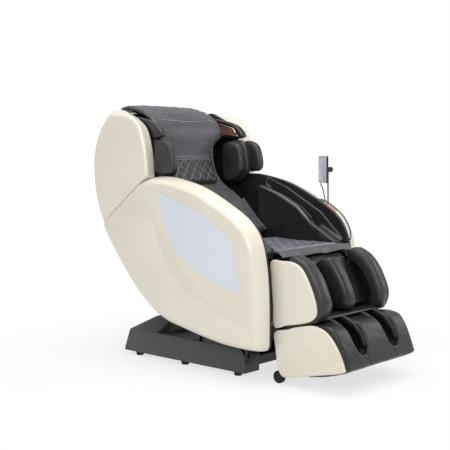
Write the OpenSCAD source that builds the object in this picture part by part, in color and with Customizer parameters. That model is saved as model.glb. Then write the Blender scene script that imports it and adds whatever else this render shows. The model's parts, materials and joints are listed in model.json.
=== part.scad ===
// Massage chair with a rocking seat, reclining back, lifting calf rest and
// sliding footrest. Millimetres. +Z up, the sitter faces -Y, +X is the
// sitter's left. The origin is on the floor below the middle of the chair.

/* [Overall] */
// Width over the two side shells
chair_w = 770; // [740:2:820]
// Thickness of one side shell across the chair
arm_w = 85; // [75:1:95]
// Wall of the moulded covers
wall = 4; // [3:0.5:5]
// Running gap between neighbouring pieces of different bodies
gap = 0.3; // [0.2:0.05:0.5]

/* [Side shells] */
// Front edge of the lower shell, from the middle of the chair
shell_front = 340; // [330:1:350]
// Top of the arm crest
crest_z = 862; // [850:1:880]
// Lowest point of the lower shell at its front
shell_low = 140; // [132:1:150]
// Open seam between the lower and the upper shell
seam_gap = 4; // [2:0.5:6]
// Roll-over of the shell edges towards the outer face
edge_roll = 34; // [20:1:40]
// Thickness of the pale side panel
panel_t = 2.4; // [1.5:0.1:4]

/* [Rocking rails] */
// Outer radius of the curved rails
rail_r = 552; // [540:1:556]
// Height of the rail section
rail_h = 12; // [10:1:16]
// Thickness of a rail
rail_t = 8; // [6:1:12]

/* [Base] */
// Width of the base cover
base_w = 560; // [540:2:566]
// Height of the base cover at its sides
base_h = 124; // [116:1:128]
// Height of the rubber feet
foot_h = 18; // [14:1:22]

/* [Seat] */
// Width between the inner arm walls at the seat
seat_w = 440; // [420:2:450]
// Thickness of the quilted seat mat
mat_t = 14; // [10:1:18]
// Radius of the recline hinge pin
hinge_r = 10; // [8:0.5:12]
// Radius of the leg rest pivot pins
leg_pin_r = 8; // [6:0.5:9]

/* [Back] */
// Half width of the head pillow at its top
pillow_half = 220; // [200:1:230]
// Half width of the pillow's lower end
pillow_neck = 155; // [140:1:170]
// Radius of a massage roller
roller_r = 32; // [28:1:34]
// Width of a massage roller
roller_w = 26; // [22:1:30]

/* [Legs] */
// Width of the leg unit over its side panels
leg_w = 548; // [540:2:560]
// Forward lean of the leg unit, in degrees
leg_lean = 11.6; // [10:0.1:13]
// Radius of the footrest guide rods
guide_r = 10; // [8:0.5:11]
// Radius of a footrest wheel
wheel_r = 27; // [24:0.5:28]

/* [Remote] */
// Width of the hand remote
remote_w = 80; // [74:1:90]
// Height of the hand remote
remote_h = 128; // [120:1:140]
// Thickness of the hand remote
remote_t = 14; // [12:0.5:18]
// Radius of the stand's rod
rod_r = 4; // [3:0.25:5]
// Diameter of the remote's cord
cord_d = 5; // [4.2:0.1:6]

/* [Hidden] */
$fn = 48;
half = chair_w / 2;
inner = half - arm_w;
rock_c = [-50, 720];        // centre that the rails curve about, y and z
hinge = [290, 340];         // recline hinge, y and z
leg_pivot = [-375, 470];    // leg rest pivot, y and z
run_fit = 0.05;             // radial clearance of a pin in its bore
slide_fit = 0.08;           // radial clearance of a rod in its tube

// ---------- curves and swept forms ----------

// point between b and c on a smooth curve through a, b, c and d
function curve_at(a, b, c, d, t) =
  0.5 * (2 * b + (c - a) * t + (2 * a - 5 * b + 4 * c - d) * t * t
  + (3 * b - a - 3 * c + d) * t * t * t);

// closed smooth outline with n steps from each point to the next
function round_outline(p, n) = [
  for (i = [0:len(p) - 1]) for (k = [0:n - 1])
    curve_at(p[(i + len(p) - 1) % len(p)], p[i], p[(i + 1) % len(p)],
             p[(i + 2) % len(p)], k / n)];

// open smooth path with n steps from each point to the next
function smooth_path(p, n) = concat([
  for (i = [0:len(p) - 2]) for (k = [0:n - 1])
    curve_at(p[max(i - 1, 0)], p[i], p[i + 1], p[min(i + 2, len(p) - 1)], k / n)],
  [p[len(p) - 1]]);

// unit direction of a path or closed outline at point i
function heading(p, i, closed) =
  let (n = len(p),
       a = closed ? p[(i + n - 1) % n] : p[max(i - 1, 0)],
       b = closed ? p[(i + 1) % n] : p[min(i + 1, n - 1)])
  (b - a) / norm(b - a);

// outline moved inwards by d at each of its points (counter-clockwise)
function inset(p, d) = [
  for (i = [0:len(p) - 1]) let (t = heading(p, i, true)) p[i] - d * [t[1], -t[0]]];

// points on a circle in the side view; angles from straight down, rear positive
function arc(c, r, a0, a1, n) = [
  for (i = [0:n]) let (a = a0 + (a1 - a0) * i / n) [c[0] + r * sin(a), c[1] - r * cos(a)]];

// skin over rings of equal length; each quad is cut along the diagonal that
// joins its even corners, so that sewn lines stay straight
module loft(rings, back = false) {
  n = len(rings[0]);
  m = len(rings);
  points = [for (r = rings) each r];
  sides = [
    for (k = [0:m - 2]) for (i = [0:n - 1])
      let (j = (i + 1) % n, a = k * n + i, b = k * n + j, c = (k + 1) * n + j, d = (k + 1) * n + i)
      each ((i + k) % 2 == 0 ? [[a, c, b], [a, d, c]] : [[a, d, b], [b, d, c]])];
  caps = [[for (i = [0:n - 1]) i], [for (i = [0:n - 1]) (m - 1) * n + n - 1 - i]];
  faces = concat(sides, caps);
  polyhedron(points = points,
    faces = back ? [for (f = faces) [for (i = [0:len(f) - 1]) f[len(f) - 1 - i]]] : faces,
    convexity = 8);
}

// solid between outlines set across the chair; stations are [x, inset]
module crowned(outline, stations)
  loft([for (s = stations) [for (q = inset(outline, s[1])) [s[0], q[0], q[1]]]]);

// flat plate from x0 to x1 with a side-view outline
module slab(x0, x1, pts)
  translate([x0, 0, 0]) rotate([90, 0, 90]) linear_extrude(x1 - x0) polygon(pts);

// round bar along x
module bar(x0, x1, at, r)
  translate([x0, at[0], at[1]]) rotate([0, 90, 0]) cylinder(h = x1 - x0, r = r);

// ring segment about an axis along x, between two radii and two angles
module ring(x0, x1, c, r0, r1, a0, a1)
  translate([x0, c[0], c[1]]) rotate([a0 - 90, 0, 0]) rotate([0, 90, 0]) rotate([0, 0, 90])
    rotate_extrude(angle = a1 - a0, $fn = 120) translate([r0, 0]) square([r1 - r0, x1 - x0]);

module pair() {
  children();
  mirror([1, 0, 0]) children();
}

module left_only() mirror([1, 0, 0]) children();

// section of a pad: drawn-in sides, crowned face, flat back.
// u runs from 1 to -1 across the face in m steps, low is a sewn dip
function pad_ring(p, t, x, hw, face, back, m, low) =
  let (nrm = [-t[1], t[0]],
       flat = concat(
         [[1, 0]],
         [for (i = [0:m]) let (u = 0.94 - 1.88 * i / m)
           [u, face * (0.55 + 0.45 * (1 - pow(abs(u), 4))) - low[i % len(low)]]],
         [[-1, 0], [-0.9, -back], [0.9, -back]]))
  [for (q = flat) [x + hw * q[0], p[0] + nrm[0] * q[1], p[1] + nrm[1] * q[1]]];

// pad swept along a side-view path that rises with the sitter on its left.
// hw is a list of half widths, one per path point; ends are drawn in
module pad(path, x, hw, face, back, m = 8, quilt = 0, quilt_from = 0, quilt_to = 0, dips = []) {
  n = len(path) - 1;
  loft([for (k = [0:n])
    let (draw = (k == 0 || k == n) ? 0.55 : 1,
         sewn = k >= quilt_from && k <= quilt_to && k > 0 && k < n ? quilt : 0,
         fold = len([for (d = dips) if (d == k) d]) > 0 ? face * 0.35 : 0,
         low = [for (i = [0:m]) fold + ((i + k) % 2 == 0 ? sewn : 0)])
    pad_ring(path[k], heading(path, k, false), x, hw[k] * (draw == 1 ? 1 : 0.96),
             face * draw, back * draw, m, low)], back = true);
}

function same(n, v) = [for (i = [0:n - 1]) v];

// half widths that change along a path, from pairs of [share, half width]
function widths(n, table) = [for (i = [0:n - 1]) lookup(i / (n - 1), table)];

// ---------- side view outlines ----------

seam_at = [333, 851];
seam_dir = [0.79, -0.613];
seam_n = [-seam_dir[1], seam_dir[0]];
seam_foot_s = (hinge - seam_at) * seam_dir;
seam_foot = seam_at + seam_foot_s * seam_dir;
seam_r = norm(seam_foot - hinge);
seam_a = atan2(seam_foot[0] - hinge[0], seam_foot[1] - hinge[1]);

// the seam, moved away from the hinge by g: a line that ends in an arc
function seam_line(g) = concat(
  [seam_at + g * seam_n - 120 * seam_dir],
  [for (i = [0:8]) let (a = seam_a + 4 * i)
    hinge + (seam_r + g) * [sin(a), cos(a)]]);

lower_pts = [
  [-shell_front + 25, shell_low + 3], [-240, shell_low - 2], [-120, shell_low + 4], [10, 164],
  [120, 186], [233, 215], [361, 295], [499, 436], [622, 598], [650, 700], [560, 790],
  [450, 830], [350, crest_z - 9], [255, crest_z], [155, crest_z - 11], [20, 818], [-115, 758],
  [-235, 688], [-300, 606], [-330, 480], [-shell_front, 330],
  [-shell_front, 200], [-shell_front + 3, shell_low + 22]];
lower_outline = round_outline(lower_pts, 2);

upper_pts = [
  [400, 700], [560, 570], [628, 628], [680, 751], [699, 880], [691, 975], [667, 1046],
  [630, 1106], [585, 1152], [545, 1166], [495, 1148], [430, 1116], [380, 1070], [350, 981],
  [338, 887], [340, 780]];
upper_outline = round_outline(upper_pts, 2);

// [x, inset] of the roll-over of a side shell from its inner to its outer face
shell_roll = [[inner, 5], [inner + 8, 0], [inner + arm_w * 0.45, 3],
  [inner + arm_w * 0.75, 0.35 * edge_roll], [inner + arm_w * 0.92, 0.65 * edge_roll], [half, edge_roll]];
shell_hollow = [[inner + wall, 5 + wall], [inner + 8, wall], [inner + arm_w * 0.45, 3 + wall],
  [inner + arm_w * 0.72, 0.35 * edge_roll + wall], [half - wall, edge_roll + wall]];

module below_seam(g)
  slab(inner - 5, half + 5, concat(seam_line(g), [[760, 500], [760, 60], [-500, 60], [-500, 1000],
    [200, 1000]]));

module above_seam(g)
  slab(inner - 5, half + 5, concat(seam_line(g), [[800, 560], [800, 1300], [200, 1300]]));

boss_at = [[-250, 420], [120, 430], [250, 420], [-180, 330]];

module lower_shell() {
  difference() {
    crowned(lower_outline, shell_roll);
    difference() {
      crowned(lower_outline, shell_hollow);
      slab(inner - 5, half + 5, concat(seam_line(-wall - seam_gap / 2), [[800, 560], [800, 1300],
        [200, 1300]]));
      for (b = boss_at) bar(inner, half, b, 12);
    }
    above_seam(-seam_gap / 2);
    slab(inner - 1, inner + wall + 2, [[-150, 350], [90, 350], [90, 400], [60, 480], [-150, 480]]);
    panel_seat(panel_t + gap);
  }
}

module upper_shell() {
  difference() {
    crowned(upper_outline, shell_roll);
    difference() {
      crowned(upper_outline, shell_hollow);
      slab(inner - 5, half + 5, concat(seam_line(wall + seam_gap / 2), [[760, 500], [760, 60],
        [-500, 60], [-500, 1000], [200, 1000]]));
    }
    below_seam(seam_gap / 2);
    slab(inner - 1, inner + wall + 2, [[460, 850], [600, 850], [600, 980], [460, 980]]);
  }
}

// leaf-shaped recess and panel on the outer face
panel_pts = [[238, 790], [190, 778], [100, 752], [-30, 700], [-150, 632], [-205, 565], [-224, 480],
  [-232, 392], [-125, 412], [10, 458], [120, 520], [190, 612], [226, 716]];
panel_outline = round_outline(panel_pts, 2);

module panel_seat(t) slab(half - t, half + 1, panel_outline);

module side_panels() color([0.84, 0.86, 0.9]) pair()
  slab(half - panel_t, half - 0.2, inset(panel_outline, gap));

module left_side_shell() color([0.87, 0.84, 0.77]) lower_shell();
module right_side_shell() color([0.87, 0.84, 0.77]) left_only() lower_shell();
module left_back_shell() color([0.87, 0.84, 0.77]) upper_shell();
module right_back_shell() color([0.87, 0.84, 0.77]) left_only() upper_shell();

// ---------- base ----------

base_front = -177;
base_rear = 579;
rail_x = min(base_w / 2 - 24, inner - 44);   // inner face of a rail
glide_a = [-11, 17];        // angles of the glide blocks on the rails
glide_l = 44;               // length of a glide block
tower_t = 20;               // thickness of a glide block's tower
inlet_x = -100;             // middle of the mains inlet
inlet_w = 90;
inlet_h = 40;
inlet_z = 46;

function glide_at(a) = arc(rock_c, rail_r + 4, a, a, 1)[0];

module base_form(s) {
  w = base_w / 2 - s;
  hull() {
    translate([-w, base_front + 26 + s, foot_h]) cube([2 * w, 520, base_h - foot_h - s]);
    translate([-w, base_front + s, foot_h]) cube([2 * w, 546, 76 - s]);
  }
  hull() {
    translate([-w, 365, foot_h]) cube([2 * w, base_rear - 365 - s, 12]);
    translate([-w, 365, base_h - s - 6]) cube([2 * w, base_rear - 36 - 365 - s, 6]);
    translate([-w + 90, 340, 180 - s]) cube([2 * w - 180, 110 - s, 6]);
  }
}

module tower_slots(s) pair() for (a = glide_a) let (g = glide_at(a))
  translate([rail_x + rail_t / 2 - tower_t / 2 - 6 - s, g[0] - glide_l / 2 - s, base_h - 64])
    cube([tower_t + 12 + 2 * s, glide_l + 2 * s, 150]);

module base_cover() color([0.28, 0.28, 0.29]) difference() {
  base_form(0);
  translate([0, 0, -1]) base_form(wall);
  translate([0, 0, foot_h - 2]) linear_extrude(8)
    translate([-base_w / 2 + wall, base_front + wall]) square([base_w - 2 * wall, base_rear - base_front - 2 * wall]);
  translate([-180, base_front - 1, foot_h - 1]) cube([360, 60, base_h]);
  tower_slots(1);
  translate([inlet_x - inlet_w / 2 - gap, base_rear - 60, inlet_z - gap])
    cube([inlet_w + 2 * gap, 80, inlet_h + 2 * gap]);
}

tube_w = 40;
tube_z = foot_h + 1;
tray_t = 3;                 // sheet floor that carries the pump, motor and controls
tray_z = tube_z + tray_t;
module base_frame() color([0.16, 0.16, 0.17]) {
  pair() {
    translate([rail_x + rail_t / 2 - 20, base_front + 10, tube_z])
      cube([base_w / 2 - wall - gap - (rail_x + rail_t / 2 - 20), base_rear - base_front - 60, tube_w]);
    for (a = glide_a) let (g = glide_at(a))
      translate([rail_x + rail_t / 2 - tower_t / 2, g[0] - 15, tube_z + tube_w])
        cube([tower_t, 30, g[1] - 14 - tube_z - tube_w]);
  }
  for (y = [base_front + 66, 120, 480])
    translate([-rail_x + 10, y, tube_z]) cube([2 * rail_x - 20, 30, tube_w]);
  translate([-rail_x + 10, base_front + 66, tube_z]) cube([2 * rail_x - 20, 543, tray_t]);
}

module base_feet() color([0.08, 0.08, 0.08]) pair() for (y = [-120, 200, 500])
  translate([rail_x + rail_t / 2 - 5, y, 0]) {
    cylinder(h = foot_h - 4, r1 = 17, r2 = 19);
    translate([0, 0, foot_h - 4]) cylinder(h = 5, r = 19);
  }

module glide_blocks() color([0.85, 0.85, 0.8]) pair() for (a = glide_a)
  let (g = glide_at(a), w = rail_t + 16)
  difference() {
    translate([rail_x - 8, g[0], g[1]]) rotate([a, 0, 0])
      translate([0, -glide_l / 2, -13]) cube([w, glide_l, 22]);
    ring(rail_x - gap, rail_x + rail_t + gap, rock_c, rail_r - 40, rail_r + gap, a - 12, a + 12);
    translate([rail_x - 9, g[0] - 40, g[1] - 40]) cube([w + 2, 80, 26]);
  }

module control_box() color([0.2, 0.3, 0.25]) translate([-190, 220, tray_z]) cube([160, 110, 60]);

module air_pump() color([0.3, 0.3, 0.32]) translate([40, 250, tray_z]) {
  cube([150, 110, 8]);
  for (x = [40, 110]) translate([x, 15, 44]) rotate([-90, 0, 0]) cylinder(h = 80, r = 34);
  translate([30, 15, 8]) cube([90, 80, 20]);
  translate([-170, -85, 0]) {
    cube([130, 50, 40]);
    for (i = [0:5]) translate([12 + 21 * i, 25, 40]) cylinder(h = 16, r = 5);
  }
}

module rock_motor() color([0.35, 0.35, 0.36]) {
  translate([150, 30, tray_z]) cube([70, 70, 70]);
  bar(70, 150, [65, tray_z + 35], 30);
  bar(220, 239.5, [65, tray_z + 45], 12);
}

module mains_inlet() color([0.1, 0.1, 0.1]) difference() {
  translate([inlet_x - inlet_w / 2, base_rear - 57, inlet_z]) cube([inlet_w, 36, inlet_h]);
  translate([inlet_x - 38, base_rear - 36, 52]) cube([28, 20, 22]);
  translate([inlet_x + 6, base_rear - 36, 51]) cube([34, 20, 30]);
  for (x = [-31, -24, -17]) translate([inlet_x + x, base_rear - 46, 62]) rotate([-90, 0, 0])
    cylinder(h = 12, r = 2);
  bar(inlet_x + 3, inlet_x + 43, switch_at, switch_pin + run_fit);
}

// rocker of the mains switch, on a pin across the chair
switch_at = [base_rear - 27, 66];
switch_pin = 2;
module power_switch() color([0.5, 0.05, 0.05]) {
  slab(inlet_x + 6 + gap, inlet_x + 40 - gap, [[switch_at[0] - 4, 55], [switch_at[0] - 4, 77],
    [switch_at[0] + 7, 79], [switch_at[0] + 5, 66], [switch_at[0] + 9, 53]]);
  bar(inlet_x + 3 + gap, inlet_x + 43 - gap, switch_at, switch_pin);
}

// ---------- seat unit ----------

plate_x = inner - 16;       // inner face of a frame side plate
plate_t = 6;
belly_r = 530;
pan_z = 472;                // underside of the seat pan

module seat_frame() color([0.16, 0.16, 0.17]) difference() {
  union() {
    pair() {
      slab(plate_x, plate_x + plate_t, [[-285, 400], [-285, 455], [-180, 455], [150, 470], [300, 440],
        [320, 340], [290, 305], [200, 300], [0, 290], [-200, 300]]);
      for (b = boss_at) bar(plate_x + plate_t, inner - gap, b, 12);
      slab(196, 206, [[-255, 424], [-255, 456], [-340, 484], [-375, 484], [-388, 470], [-375, 456],
        [-330, 440]]);
      bar(206, 222, leg_pivot, leg_pin_r);
    }
    bar(-plate_x, plate_x, [-255, pan_z - gap - 15], 15);
    bar(-plate_x, plate_x, [100, pan_z - gap - 15], 15);
    bar(-plate_x, plate_x, hinge, hinge_r);
    pair() slab(24, 30, [[34, 368], [34, 392], [90, 452], [112, 440], [60, 368]]);
  }
  pair() bar(plate_x - 1, plate_x + plate_t + 1, [-100, 380], 40);
}

hangers = [-21, 10, 26];    // angles of the rail hangers
hanger_z = 322;
function hanger_at(a) = arc(rock_c, rail_r - rail_h, a, a, 1)[0];

module rocker_rails() color([0.55, 0.56, 0.58]) pair() {
  ring(rail_x, rail_x + rail_t, rock_c, rail_r - rail_h, rail_r, -27, 42);
  for (a = hangers) let (g = hanger_at(a)) {
    slab(rail_x, rail_x + rail_t, [[g[0] - 20, g[1] + 2], [g[0] + 20, g[1] + 2],
      [g[0] + 20, hanger_z], [g[0] - 20, hanger_z]]);
    translate([rail_x, g[0] - 20, hanger_z - 6]) cube([plate_x - gap - rail_x, 40, 6]);
  }
}

module belly_slots() pair() for (a = hangers) let (g = hanger_at(a))
  translate([rail_x - 1, g[0] - 22, 100]) cube([rail_t + 2, 44, 240]);

belly_out = concat(arc(rock_c, belly_r, -30, 40, 14), [[356, 340], [424, 402]]);
belly_in = concat(arc(rock_c, belly_r - wall, -30, 40, 14), [[353, 343], [421, 405]]);
module belly_cover() color([0.13, 0.13, 0.14]) difference() {
  slab(-plate_x + gap, plate_x - gap, concat(belly_out, [for (i = [len(belly_in) - 1:-1:0]) belly_in[i]]));
  belly_slots();
}

// black arm lining with a trough for the forearm
arm_rim = [[-300, 560], [-285, 577], [-165, 690], [40, 803], [165, 850], [175, 852]];
arm_lip = [[-300, 556], [-240, 590], [-146, 645], [-68, 714], [32, 766], [135, 803], [175, 815]];
arm_deep = [[-300, 0], [-180, 0], [-140, 26], [110, 30], [150, 0], [175, 0]];
arm_ys = [-292, -270, -235, -200, -170, -140, -100, -50, 0, 50, 110, 150, 168];

function arm_ring(y) =
  let (o = inner - gap, rim = lookup(y, arm_rim), lip = lookup(y, arm_lip), deep = lookup(y, arm_deep),
       s = seat_w / 2, mid = max(lip, rim - 30))
  [[o, y, 515], [o, y, rim - 6], [o - 5, y, rim], [o - 10, y, rim - 8],
   [o - 14, y, min(mid, lip) - deep + 2], [s + 32, y, lip - deep - 2], [s + 24, y, lip - deep * 0.4],
   [s + 18, y, lip], [s + 10, y, lip - 4], [s + 5, y, lip - 20], [s + 1, y, 560 + (lip - 560) * 0.3],
   [s, y, 515]];

module arm_liner() loft([for (y = arm_ys) arm_ring(y)], back = true);
module left_arm_liner() color([0.12, 0.12, 0.13]) arm_liner();
module right_arm_liner() color([0.12, 0.12, 0.13]) left_only() arm_liner();

// inflatable strip along the outer side of each trough
module arm_airbags() color([0.22, 0.22, 0.23]) pair()
  loft([for (y = [-120, -100, -40, 20, 80, 100])
    let (z = lookup(y, arm_lip) - lookup(y, arm_deep) + 14, k = (y == -120 || y == 100) ? 0.5 : 1)
    [for (a = [0:45:315]) [inner - 18 + 4 * k * cos(a), y, z + 9 * k * sin(a)]]], back = true);

module seat_pan() color([0.18, 0.18, 0.19]) difference() {
  slab(-plate_x + 2, plate_x - 2, [[-272, pan_z], [-272, pan_z + 6], [160, pan_z + 6], [160, pan_z]]);
  for (x = [-150, -50, 50, 150]) translate([x, -60, 460]) cylinder(h = 30, r = 22);
}

seat_path = smooth_path([[-276, 506], [-150, 506], [0, 506], [110, 506]], 4);
module seat_cushion() color([0.14, 0.14, 0.15])
  pad(seat_path, 0, same(len(seat_path), seat_w / 2 - 1), 33.6, 27.5, m = 8, dips = [4, 8]);

mat_front = -306;
mat_path = smooth_path([[mat_front, 549], [-270, 547], [-190, 546], [-110, 546], [-30, 547], [50, 552]], 3);
module seat_mat() color([0.36, 0.37, 0.39])
  pad(mat_path, 0, same(len(mat_path), seat_w / 2 - 1),
      mat_t - 2, 6, m = 14, quilt = 5, quilt_from = 3, quilt_to = 12);

// loose front hem of the mat, waved along its edge
module seat_flap() color([0.34, 0.35, 0.37])
  loft([for (i = [0:16]) let (x = -262 + 524 * i / 16, w = 6 * sin(i * 75))
    [[x, mat_front - gap, 555.4], [x, -346, 557], [x, -364 + w, 540 + w / 3], [x, -360 + w, 538 + w / 3],
     [x, -343, 552], [x, mat_front - gap, 550]]]);

lumbar_path = smooth_path([[112, 588], [162, 634], [218, 690], [258, 734]], 3);
module lumbar_pad() color([0.36, 0.37, 0.39])
  pad(lumbar_path, 0, same(len(lumbar_path), seat_w / 2 + 0.2), 22, 20, m = 8, dips = [4]);

module leg_motor() color([0.35, 0.35, 0.36]) {
  translate([120, -240 + gap, 400]) cube([64, 64 - gap, 56]);
  bar(50, 120, [-206, 430], 22);
  bar(184, 195.7, [-216, 440], 14);
}

// recline actuator: motor and tube on the seat frame, rod as a separate piece
act_a = [46, 379];          // its pin on the seat frame, y and z
act_b = [246, 424];         // its pin on the back frame at rest
act_dir = (act_b - act_a) / norm(act_b - act_a);
act_deg = atan2(act_dir[1], act_dir[0]);
module along_act(x) translate([x, act_a[0], act_a[1]]) rotate([act_deg, 0, 0]) rotate([-90, 0, 0])
  children();
module recline_actuator() color([0.3, 0.3, 0.32]) {
  difference() {
    union() {
      along_act(0) translate([0, 0, 14]) cylinder(h = 96, r = 16);
      along_act(0) translate([-10, -14, -12]) cube([20, 28, 30]);
    }
    along_act(0) translate([0, 0, 30]) cylinder(h = 100, r = 8 + slide_fit);
  }
  bar(-23.7, 23.7, act_a, 6);
  along_act(0) translate([-20, 14, 24]) cube([40, 40, 50]);
}

module recline_rod() color([0.75, 0.76, 0.78]) difference() {
  union() {
    along_act(0) translate([0, 0, 92]) cylinder(h = 96, r = 8);
    along_act(0) translate([-6, -12, 182]) cube([12, 24, 38]);
  }
  bar(-8, 8, act_b, 9);
}

// ---------- backrest ----------

module strut(x0, x1, a, b, w) {
  d = (b - a) / norm(b - a);
  n = [-d[1], d[0]] * w / 2;
  slab(x0, x1, [a + n, a - n, b - n, b + n]);
}

sleeve_r = 16;
back_boss = [[462, 730], [520, 955]];
board_rear = 400.6;         // where the lower brackets meet the back panel
module back_frame() color([0.16, 0.16, 0.17]) difference() {
  union() {
    pair() {
      bar(236, 272, hinge, sleeve_r);
      strut(240, 262, hinge + [4, 4], [440, 640], 26);
      strut(240, 262, [438, 630], [560, 1110], 26);
      on_carriage() translate([196, -8, -110]) cube([6, 16, 330]);
      translate([190, board_rear, 776]) cube([56, 526 - board_rear, 10]);
      translate([196, 540, 1092]) cube([50, 44, 10]);
      for (b = back_boss) bar(260, inner - gap, b, 12);
    }
    bar(-262, 262, [553.2, 1120.2], 10);
    bar(-262, 262, [400, 560], 12);
    pair() slab(10, 16, [[246 - 14, 424], [246, 438], [380, 568], [400, 552], [260, 410], [246, 410]]);
    bar(-16, 16, act_b, 5);
  }
  pair() bar(230, 280, hinge, hinge_r + run_fit);
}

skirt = [[430, 402], [480, 464], [560, 562], [606, 622]];
rear_pts = [for (q = inset(upper_outline, 9)) if (q[0] > 552 && q[1] > 640) q];
rear_in = [for (q = inset(upper_outline, 9 + wall)) if (q[0] > 552 && q[1] > 640) q];
module back_cover() color([0.87, 0.84, 0.77])
  slab(-inner + gap, inner - gap, concat(skirt, rear_pts,
    [for (i = [len(rear_in) - 1:-1:0]) rear_in[i]], [for (i = [3:-1:0]) skirt[i] + [-3, 3]]));

liner_back = 14;            // foam behind the liner's path
liner_path = smooth_path([[290, 748], [348, 783], [405, 824], [437, 876], [452, 935],
  [452, 1000], [455, 1066]], 3);
module back_liner() color([0.36, 0.37, 0.39])
  pad(liner_path, 0, widths(len(liner_path), [[0, 212], [0.4, 208], [1, 200]]), 16, liner_back, m = 8,
      dips = [2, 5]);

// black padded panel behind the liner, with the slot that the rollers work in
board_path = concat(liner_path, [[466, 1098], [496, 1126], [534, 1140]]);
board_gap = 0.4;
board_t = 12;
board_half = 214;
board_top = 16;             // path point where the panel widens for the pillow
function behind(p, i, d) = let (t = heading(p, i, false)) p[i] + d * [t[1], -t[0]];
function board_strip(from) = concat(
  [for (i = [from:len(board_path) - 1]) behind(board_path, i, liner_back + board_gap + board_t)],
  [for (i = [len(board_path) - 1:-1:from]) behind(board_path, i, liner_back + board_gap)]);
module back_panel() color([0.1, 0.1, 0.11]) difference() {
  union() {
    slab(-board_half, board_half, board_strip(1));
    slab(-inner + 40, inner - 40, board_strip(board_top));
  }
  translate([-120, 400, 840]) cube([240, 135, 280]);
}

pillow_path = smooth_path([[366, 821], [394, 873], [411, 932], [412, 1000], [415, 1064],
  [440, 1116], [506, 1156], [592, 1180], [668, 1178]], 3);
module head_pillow() color([0.37, 0.38, 0.4])
  pad(pillow_path, 0, widths(len(pillow_path), [[0, pillow_neck - 8], [0.1, pillow_neck],
      [0.42, pillow_neck + 4], [0.52, pillow_half - 6], [0.7, pillow_half], [1, pillow_half - 6]]), 16, 10, m = 12,
      quilt = 5, quilt_from = 1, quilt_to = 8, dips = [9, 17]);

wing_pts = [[304, 1042], [340, 1035], [420, 1034], [500, 1034], [540, 1048], [558, 1096], [552, 1136],
  [528, 1140], [460, 1132], [390, 1116], [346, 1100], [318, 1078], [302, 1056]];
module head_wing() difference() {
  crowned(round_outline(wing_pts, 2), [[inner - 36, 7], [inner - 32, 3], [inner - 20, 0], [inner - 5, 0],
    [inner - gap, 5]]);
  speaker_cut(0.5);
}
grille_pts = [[328, 1047], [478, 1049], [502, 1117], [437, 1109], [360, 1089]];
module speaker_cut(s) translate([inner - 50, 0, 0]) rotate([90, 0, 90])
  linear_extrude(22) offset(delta = s) polygon(grille_pts);
module left_head_wing() color([0.11, 0.11, 0.12]) head_wing();
module right_head_wing() color([0.11, 0.11, 0.12]) left_only() head_wing();
module speaker_grilles() color([0.8, 0.6, 0.55]) pair() difference() {
  slab(inner - 38, inner - 28.3, grille_pts);
  slab(inner - 40, inner - 35, inset(grille_pts, 7));
}

shoulder_pts = [[380, 812], [404, 850], [410, 940], [402, 1008], [360, 1028], [322, 1027], [296, 1014],
  [279, 985], [270, 945], [266, 905], [269, 878], [283, 852], [312, 830]];
front_pts = [[326, 884], [330, 960], [324, 1008], [298, 1025], [262, 1020], [232, 998], [214, 958],
  [207, 915], [211, 889], [228, 875], [290, 873]];
pad_seam = inner - 40;      // where the rolls of a shoulder pad meet
module shoulder_pad() {
  crowned(round_outline(shoulder_pts, 2), [[pad_seam, 10], [pad_seam + 4, 4], [pad_seam + 12, 0],
    [inner - 12, 0], [inner - 4, 3], [inner - gap, 8]]);
  crowned(round_outline(front_pts, 2), [[inner - 12, 8], [inner - 8, 3], [inner, 0], [inner + 14, 0],
    [inner + 21, 3], [inner + 25, 8]]);
  crowned(round_outline([for (q = shoulder_pts) [330, 920] + 0.92 * (q - [330, 920])], 2), [[pad_seam - 40, 12],
    [pad_seam - 34, 4], [pad_seam - 24, 0], [pad_seam - 12, 0], [pad_seam - 4, 3], [pad_seam - gap, 8]]);
}
module left_shoulder_pad() color([0.11, 0.11, 0.12]) shoulder_pad();
module right_shoulder_pad() color([0.11, 0.11, 0.12]) left_only() shoulder_pad();

// massage carriage on the two flat rails of the back frame
rail_dir = [40, 280] / norm([40, 280]);
car_at = [562, 890];        // carriage centre, y and z
module on_carriage() translate([0, car_at[0], car_at[1]]) rotate([atan2(rail_dir[1], rail_dir[0]) - 90, 0, 0])
  children();
module massage_carriage() color([0.3, 0.3, 0.33]) on_carriage() {
  translate([-190, 10, -35]) cube([380, 6, 70]);
  pair() translate([190, -14, -30]) cube([5.7, 30, 60]);
  translate([-60, 16, -30]) cube([120, 50, 60]);
  pair() translate([50, -22, -12]) difference() {
    cube([10, 32, 24]);
    translate([-1, 6, 12]) rotate([0, 90, 0]) cylinder(h = 12, r = 5 + run_fit);
  }
}
module massage_arms() color([0.7, 0.7, 0.72]) on_carriage() {
  translate([-64, -16, 0]) rotate([0, 90, 0]) cylinder(h = 128, r = 5);
  pair() translate([64, -16, 0]) rotate([90, 0, 90]) difference() {
    linear_extrude(8) polygon([[-8, -8], [-34, -62], [-50, -62], [-50, -46], [-24, 0], [-50, 46],
      [-50, 62], [-34, 62], [-8, 8], [6, 8], [6, -8]]);
    for (s = [-54, 54]) translate([-42, s, -1]) cylinder(h = 10, r = 4 + run_fit);
  }
}
module roller_pair(z) on_carriage() translate([0, -58, z]) rotate([0, 90, 0]) {
  translate([0, 0, -72 - roller_w - 6]) cylinder(h = 2 * (78 + roller_w), r = 4);
  for (s = [-1, 1]) translate([0, 0, s * (74 + roller_w / 2)]) rotate_extrude()
    polygon([[3, -roller_w / 2], [roller_r - 8, -roller_w / 2], [roller_r, -roller_w / 4],
      [roller_r, roller_w / 4], [roller_r - 8, roller_w / 2], [3, roller_w / 2]]);
}
module upper_rollers() color([0.75, 0.55, 0.3]) roller_pair(54);
module lower_rollers() color([0.75, 0.55, 0.3]) roller_pair(-54);

// ---------- leg rest ----------

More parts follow.
